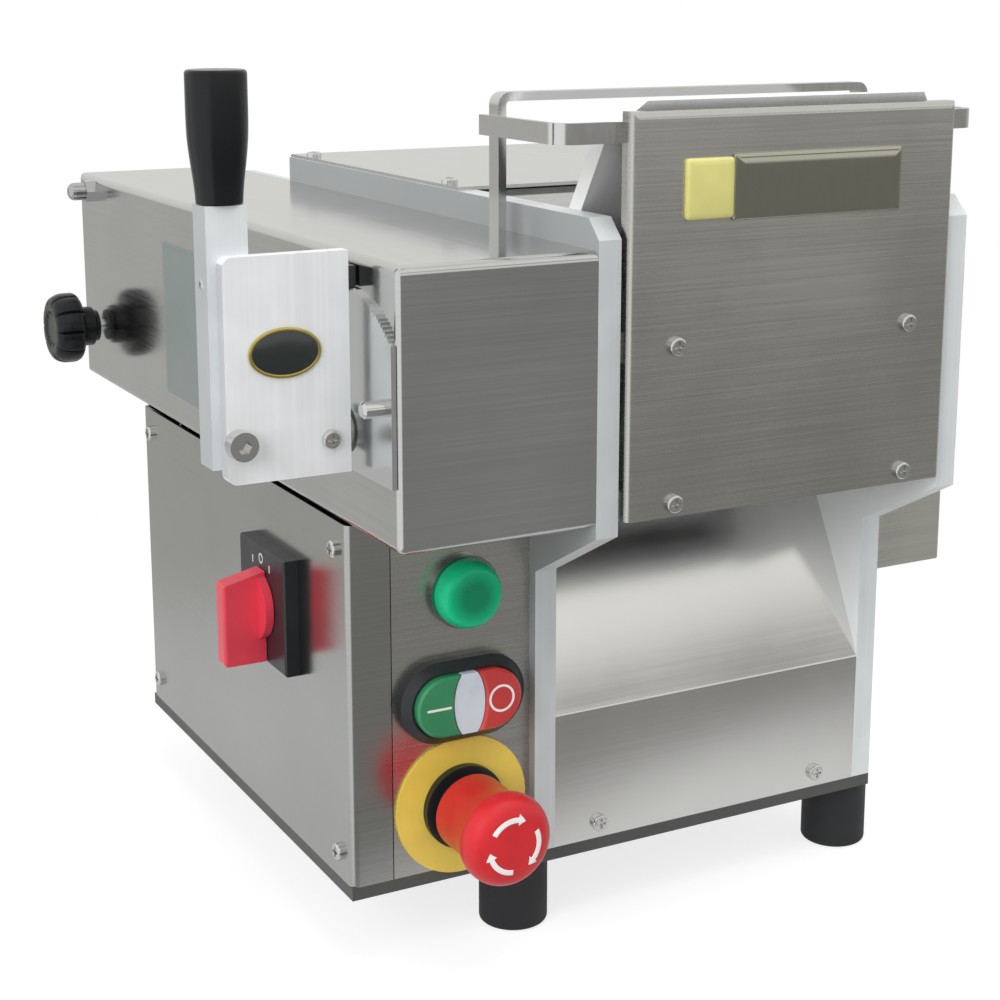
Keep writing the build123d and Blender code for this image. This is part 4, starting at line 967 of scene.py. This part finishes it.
@dataclass
class EmergencyStop:
    """Mushroom head with three turning arrows on its face."""

    arrow_radius: float = 11.0 * MM
    arrow_width: float = 1.1 * MM
    arrow_turn: float = 82.0
    arrow_count: int = 3
    arrow_start: float = 0.45
    arrow_lift: float = 0.05 * MM
    arrow_depth: float = 0.2 * MM
    shaft_share: float = 0.80
    head_flare: float = 2.3
    skirt: float = 8.2 * MM
    stem_play: float = 0.08 * MM
    neck_share: float = 0.825
    hollow_share: float = 0.70
    line: np.ndarray = field(default_factory=lambda: np.zeros((1, 2)))

    def face_height(self, radius: np.ndarray) -> np.ndarray:
        """Read the head's face along its profile.

        Args:
            radius: distances from the axis.

        Returns:
            Height of the face at each of them.
        """
        outer = self.line[np.argmax(self.line[:, 0]):]
        order = np.argsort(outer[:, 0])
        return np.interp(radius, outer[order, 0], outer[order, 1])

    def build(self) -> None:
        """Turned head, then the arrows laid on its face."""
        low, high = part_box("estop_head")
        seat = Vector((middle("estop_head").x, high.y, middle("estop_head").z))
        radius = (high.x - low.x) / 2
        reach = high.y - low.y
        stem_low, stem_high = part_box("estop_stem")
        stem = (stem_high.x - stem_low.x) / 2 + self.stem_play
        bore = high.y - stem_low.y + self.stem_play
        neck = radius * self.neck_share
        hollow = radius * self.hollow_share
        corners = [
            (0.0, bore), (stem, bore), (stem, self.skirt), (hollow, self.skirt), (hollow, 0.0),
            (neck, 0.0), (neck * 0.985, reach * 0.44), (radius * 0.92, reach * 0.64),
            (radius * 0.985, reach * 0.75), (radius * 0.93, reach * 0.89), (radius * 0.72, reach * 0.985),
            (0.0, reach),
        ]
        eased = (0, 0, 0, 0, 0, 0.6, 6, 4, 5, 5, 5, 0)
        self.line = rounded_line(corners, [r * MM for r in eased], 9)
        head = surface("estop_mushroom", Facing.FRONT.place(turned(self.line, 120), seat), 60.0)
        finish_piece(head, ESTOP_RED, "estop_head", "red_plastic", "estop_head")
        along, across = np.meshgrid(np.linspace(0.0, 1.0, 60), np.linspace(-1.0, 1.0, 7), indexing="ij")
        tip = self.head_flare * (1.0 - along) / (1.0 - self.shaft_share)
        wide = np.where(along < self.shaft_share, 1.0, tip)
        for i in range(self.arrow_count):
            start = math.tau * i / self.arrow_count + self.arrow_start
            angle = start - math.radians(self.arrow_turn) * along
            r = self.arrow_radius + across * wide * self.arrow_width
            out = self.face_height(r) + self.arrow_lift
            local = np.stack([r * np.cos(angle), r * np.sin(angle), out], axis=-1)
            arrow = surface(f"estop_arrow_{i + 1}", Facing.FRONT.place(local, seat))
            finish_piece(thicken(arrow, self.arrow_depth), MARK, "estop_head", "pale_lens")


@dataclass
class ButtonMarks:
    """Bar on the start button and ring on the stop button."""

    bar: tuple[float, float] = (11.0 * MM, 1.0 * MM)
    ring_radius: float = 5.4 * MM
    ring_width: float = 1.0 * MM
    aside: float = 0.4 * MM

    def build(self) -> None:
        """Both stand a hair proud of the button faces."""
        low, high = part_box("start_button")
        seat = Vector(((low.x + high.x) / 2 - self.aside, low.y, (low.z + high.z) / 2))
        outline = rounded_outline(*self.bar, self.bar[1] * 0.4, 5)
        finish_piece(mark_plate("start_bar", Facing.FRONT, seat, outline), MARK, "start_button", "pale_lens")
        low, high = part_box("stop_button")
        seat = Vector(((low.x + high.x) / 2 + self.aside, low.y, (low.z + high.z) / 2))
        inner, outer = self.ring_radius - self.ring_width / 2, self.ring_radius + self.ring_width / 2
        ring = mark_ring("stop_ring", Facing.FRONT, seat, inner, outer, 72)
        finish_piece(ring, MARK, "stop_button", "pale_lens")


@dataclass
class SwitchMarks:
    """Ring and bars of the main switch's dial."""

    radius: float = 20.5 * MM
    turns: tuple[float, ...] = (62.0, 118.0)
    size: tuple[float, float] = (1.0 * MM, 3.4 * MM)
    ring_radius: float = 1.9 * MM
    ring_half: float = 0.45 * MM

    def build(self) -> None:
        """A ring over the handle and a bar on each side of it."""
        low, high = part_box("switch_plate")
        centre = Vector((low.x, (low.y + high.y) / 2, (low.z + high.z) / 2))
        outline = rounded_outline(*self.size, self.size[0] * 0.3, 4)
        for i, turn in enumerate(self.turns):
            a = math.radians(turn)
            seat = centre + Vector((0.0, -self.radius * math.cos(a), self.radius * math.sin(a)))
            mark = mark_plate(f"switch_mark_{i + 1}", Facing.LEFT, seat, outline)
            finish_piece(mark, SWITCH_MARK, "frame", "pale_lens")
        inner, outer = self.ring_radius - self.ring_half, self.ring_radius + self.ring_half
        ring = mark_ring("switch_ring", Facing.LEFT, centre + Vector((0, 0, self.radius)), inner, outer, 48)
        finish_piece(ring, SWITCH_MARK, "frame", "pale_lens")


@dataclass
class Studio:
    """Pale floor, soft light and the camera."""

    camera_at: tuple[float, float, float] = (-0.4092, -0.8152, 0.4001)
    pitch: float = 0.212
    yaw: float = 0.492
    lens: float = 69.33
    shift_up: float = -0.1
    sensor: float = 36.0
    sight: float = 50.0
    floor_span: tuple[float, float, float, float] = (-1.6, 1.6, -1.2, 2.0)
    floor_drop: float = 0.4 * MM
    floor_grey: Colour = (0.80, 0.80, 0.80)
    floor_soft: Colour = (0.30, 0.30, 0.30)
    floor_slant: tuple[float, float, float] = (0.35, 1.0, 0.0)
    floor_front: tuple[float, float] = (-0.296, -0.191)
    floor_far: tuple[float, float] = (0.55, 0.24)
    floor_white: float = 0.78
    floor_mirror: float = 0.43
    ambient: float = 0.62
    side_glow: float = 1.0
    front: tuple[tuple[float, float], ...] = (
        (-30.0, 0.27), (-3.0, 0.28), (3.0, 0.95), (15.0, 0.95), (18.0, 0.27), (20.0, 0.29), (24.0, 0.95),
        (26.5, 1.0), (48.0, 1.0), (75.0, 0.62),
    )
    back: tuple[tuple[float, float], ...] = ((-30.0, 0.56), (-1.0, 0.52), (5.0, 0.80), (60.0, 1.0))
    room_tint: Colour = (1.0, 0.99, 0.96)
    room_turn: tuple[float, float] = (0.15, -0.35)
    wall_turn: tuple[float, float] = (-0.58, -0.78)
    aim: tuple[float, float, float] = (0.0, 0.0, 0.2)

    def camera(self) -> None:
        """Camera at the photograph's viewpoint."""
        data = bpy.data.cameras.new("studio_camera")
        data.sensor_width = self.sensor
        data.lens = self.lens
        data.shift_y = self.shift_up
        data.clip_end = self.sight
        eye = bpy.data.objects.new("studio_camera", data)
        eye.location = self.camera_at
        eye.rotation_euler = (math.pi / 2 - self.pitch, 0.0, -self.yaw)
        bpy.context.scene.collection.objects.link(eye)
        bpy.context.scene.camera = eye

    def seen(self, tree: bpy.types.NodeTree, kinds: Sequence[str]) -> bpy.types.NodeSocket:
        """Factor that is 1 for the named kinds of ray.

        Args:
            tree: node tree to add to.
            kinds: Light Path outputs.

        Returns:
            Clamped sum of those outputs.
        """
        path = tree.nodes.new("ShaderNodeLightPath")
        total = path.outputs[kinds[0]]
        for kind in kinds[1:]:
            add = tree.nodes.new("ShaderNodeMath")
            add.operation = "ADD"
            add.use_clamp = True
            tree.links.new(total, add.inputs[0])
            tree.links.new(path.outputs[kind], add.inputs[1])
            total = add.outputs["Value"]
        return total

    def floor(self) -> None:
        """Plain pale floor that keeps a soft shadow and fades out away from the machine."""
        x0, x1, y0, y1 = self.floor_span
        x, y = np.meshgrid(np.linspace(x0, x1, 2), np.linspace(y0, y1, 2), indexing="ij")
        ground = surface("studio_floor", np.stack([x, y, np.full_like(x, -self.floor_drop)], axis=-1))
        material = bpy.data.materials.new("studio_floor_pale")
        material.use_nodes = True
        tree = material.node_tree
        tree.nodes.clear()
        plain = tree.nodes.new("ShaderNodeBsdfDiffuse")
        plain.inputs["Color"].default_value = (*self.floor_grey, 1.0)
        soft = tree.nodes.new("ShaderNodeBsdfDiffuse")
        soft.inputs["Color"].default_value = (*self.floor_soft, 1.0)
        glow = tree.nodes.new("ShaderNodeEmission")
        glow.inputs["Color"].default_value = (1.0, 1.0, 1.0, 1.0)
        level = tree.nodes.new("ShaderNodeMapRange")
        level.inputs["To Min"].default_value = self.floor_mirror
        level.inputs["To Max"].default_value = self.floor_white
        tree.links.new(self.seen(tree, ("Is Camera Ray",)), level.inputs["Value"])
        tree.links.new(level.outputs["Result"], glow.inputs["Strength"])
        both = tree.nodes.new("ShaderNodeAddShader")
        pick = tree.nodes.new("ShaderNodeMixShader")
        clear = tree.nodes.new("ShaderNodeBsdfTransparent")
        fade = tree.nodes.new("ShaderNodeMixShader")
        output = tree.nodes.new("ShaderNodeOutputMaterial")
        tree.links.new(soft.outputs[0], both.inputs[0])
        tree.links.new(glow.outputs[0], both.inputs[1])
        shown = self.seen(tree, ("Is Camera Ray", "Is Glossy Ray", "Is Transmission Ray"))
        tree.links.new(shown, pick.inputs[0])
        tree.links.new(plain.outputs[0], pick.inputs[1])
        tree.links.new(both.outputs[0], pick.inputs[2])
        tree.links.new(self.floor_fade(tree), fade.inputs[0])
        tree.links.new(clear.outputs[0], fade.inputs[1])
        tree.links.new(pick.outputs[0], fade.inputs[2])
        tree.links.new(fade.outputs[0], output.inputs["Surface"])
        ground.data.materials.append(material)

    def floor_fade(self, tree: bpy.types.NodeTree) -> bpy.types.NodeSocket:
        """Factor that is 1 on the floor round the machine and 0 far off and in the room in front.

        Args:
            tree: node tree to add to.

        Returns:
            Product of a slanting front edge and a round far edge.
        """
        place = tree.nodes.new("ShaderNodeTexCoord").outputs["Object"]
        slant = tree.nodes.new("ShaderNodeVectorMath")
        slant.operation = "DOT_PRODUCT"
        slant.inputs[1].default_value = self.floor_slant
        far = tree.nodes.new("ShaderNodeVectorMath")
        far.operation = "LENGTH"
        tree.links.new(place, slant.inputs[0])
        tree.links.new(place, far.inputs[0])
        product = tree.nodes.new("ShaderNodeMath")
        product.operation = "MULTIPLY"
        tree.links.new(self.ramp(tree, slant.outputs["Value"], *self.floor_front), product.inputs[0])
        tree.links.new(self.ramp(tree, far.outputs["Value"], *self.floor_far), product.inputs[1])
        return product.outputs["Value"]

    def ramp(
        self, tree: bpy.types.NodeTree, value: bpy.types.NodeSocket, low: float, high: float
    ) -> bpy.types.NodeSocket:
        """Smooth step of a number.

        Args:
            tree: node tree to add to.
            value: number to step.
            low: where the result is 0.
            high: where the result is 1.

        Returns:
            The stepped output.
        """
        step = tree.nodes.new("ShaderNodeMapRange")
        step.interpolation_type = "SMOOTHSTEP"
        step.inputs["From Min"].default_value = low
        step.inputs["From Max"].default_value = high
        tree.links.new(value, step.inputs["Value"])
        return step.outputs["Result"]

    def heights(
        self, tree: bpy.types.NodeTree, up: bpy.types.NodeSocket, stops: Sequence[tuple[float, float]]
    ) -> bpy.types.NodeSocket:
        """Brightness of the room by elevation.

        Args:
            tree: node tree to add to.
            up: upward part of the direction.
            stops: pairs of elevation in degrees and brightness.

        Returns:
            Grey colour output.
        """
        rise = tree.nodes.new("ShaderNodeMapRange")
        rise.inputs["From Min"].default_value = -1.0
        rise.inputs["From Max"].default_value = 1.0
        tree.links.new(up, rise.inputs["Value"])
        ramp = tree.nodes.new("ShaderNodeValToRGB")
        points = ramp.color_ramp.elements
        while len(points) < len(stops):
            points.new(0.5)
        for point, (angle, level) in zip(points, stops):
            point.position = (math.sin(math.radians(angle)) + 1.0) / 2
            point.color = (*shade(self.room_tint, level), 1.0)
        tree.links.new(rise.outputs["Result"], ramp.inputs["Fac"])
        return ramp.outputs["Color"]

    def world(self) -> None:
        """White behind the machine, a dim room in front of it and an even glow for the light."""
        world = bpy.data.worlds.new("studio_world")
        bpy.context.scene.world = world
        world.use_nodes = True
        tree = world.node_tree
        tree.nodes.clear()
        split = tree.nodes.new("ShaderNodeSeparateXYZ")
        tree.links.new(tree.nodes.new("ShaderNodeTexCoord").outputs["Generated"], split.inputs["Vector"])
        near = self.ramp(tree, split.outputs["Y"], *self.room_turn)
        room = tree.nodes.new("ShaderNodeMix")
        room.data_type = "RGBA"
        tree.links.new(near, room.inputs[0])
        tree.links.new(self.heights(tree, split.outputs["Z"], self.back), room.inputs[6])
        tree.links.new(self.heights(tree, split.outputs["Z"], self.front), room.inputs[7])
        even = tree.nodes.new("ShaderNodeBackground")
        even.inputs["Strength"].default_value = self.ambient
        white = tree.nodes.new("ShaderNodeBackground")
        mirror = tree.nodes.new("ShaderNodeBackground")
        for plain in (even, white):
            plain.inputs["Color"].default_value = (1.0, 1.0, 1.0, 1.0)
        wall = tree.nodes.new("ShaderNodeMix")
        wall.data_type = "RGBA"
        wall.inputs[7].default_value = (self.side_glow, self.side_glow, self.side_glow, 1.0)
        tree.links.new(self.ramp(tree, split.outputs["X"], *self.wall_turn), wall.inputs[0])
        tree.links.new(room.outputs[2], wall.inputs[6])
        tree.links.new(wall.outputs[2], mirror.inputs["Color"])
        first = tree.nodes.new("ShaderNodeMixShader")
        second = tree.nodes.new("ShaderNodeMixShader")
        output = tree.nodes.new("ShaderNodeOutputWorld")
        tree.links.new(self.seen(tree, ("Is Glossy Ray", "Is Transmission Ray")), first.inputs[0])
        tree.links.new(even.outputs[0], first.inputs[1])
        tree.links.new(mirror.outputs[0], first.inputs[2])
        tree.links.new(self.seen(tree, ("Is Camera Ray",)), second.inputs[0])
        tree.links.new(first.outputs[0], second.inputs[1])
        tree.links.new(white.outputs[0], second.inputs[2])
        tree.links.new(second.outputs[0], output.inputs["Surface"])

    def lamp(self, name: str, at: Vector, size: float, power: float) -> None:
        """Square soft lamp aimed at the machine's middle, which mirrors don't show.

        Args:
            name: lamp's name.
            at: its place.
            size: its side.
            power: watts.
        """
        data = bpy.data.lights.new(name, "AREA")
        data.shape = "SQUARE"
        data.size = size
        data.energy = power
        lamp = bpy.data.objects.new(name, data)
        lamp.location = at
        lamp.visible_glossy = False
        lamp.rotation_euler = (Vector(self.aim) - at).to_track_quat("-Z", "Y").to_euler()
        bpy.context.scene.collection.objects.link(lamp)

    def build(self) -> None:
        """Set the stage."""
        self.camera()
        self.floor()
        self.world()
        self.lamp("lamp_top", Vector((0.1, -0.5, 1.7)), 1.2, 16.0)
        self.lamp("lamp_left", Vector((-1.4, -0.9, 0.9)), 1.0, 18.0)


def main() -> None:
    """Dress the machine, build its finer pieces and set the stage."""
    logging.basicConfig(level=logging.INFO, format="%(name)s %(message)s")
    bpy.context.scene.view_settings.view_transform = "Standard"
    FrameFinishes().apply()
    for part in (
        Chute(), PanelBadges(), LeverOval(), LeverGrubScrew(), CoverLabel(), LeverGrip(), ClampKnob(),
        PilotLamp(), EmergencyStop(), ButtonMarks(), SwitchMarks(),
    ):
        part.build()
    Studio().build()


if __name__ == "__main__":
    main()
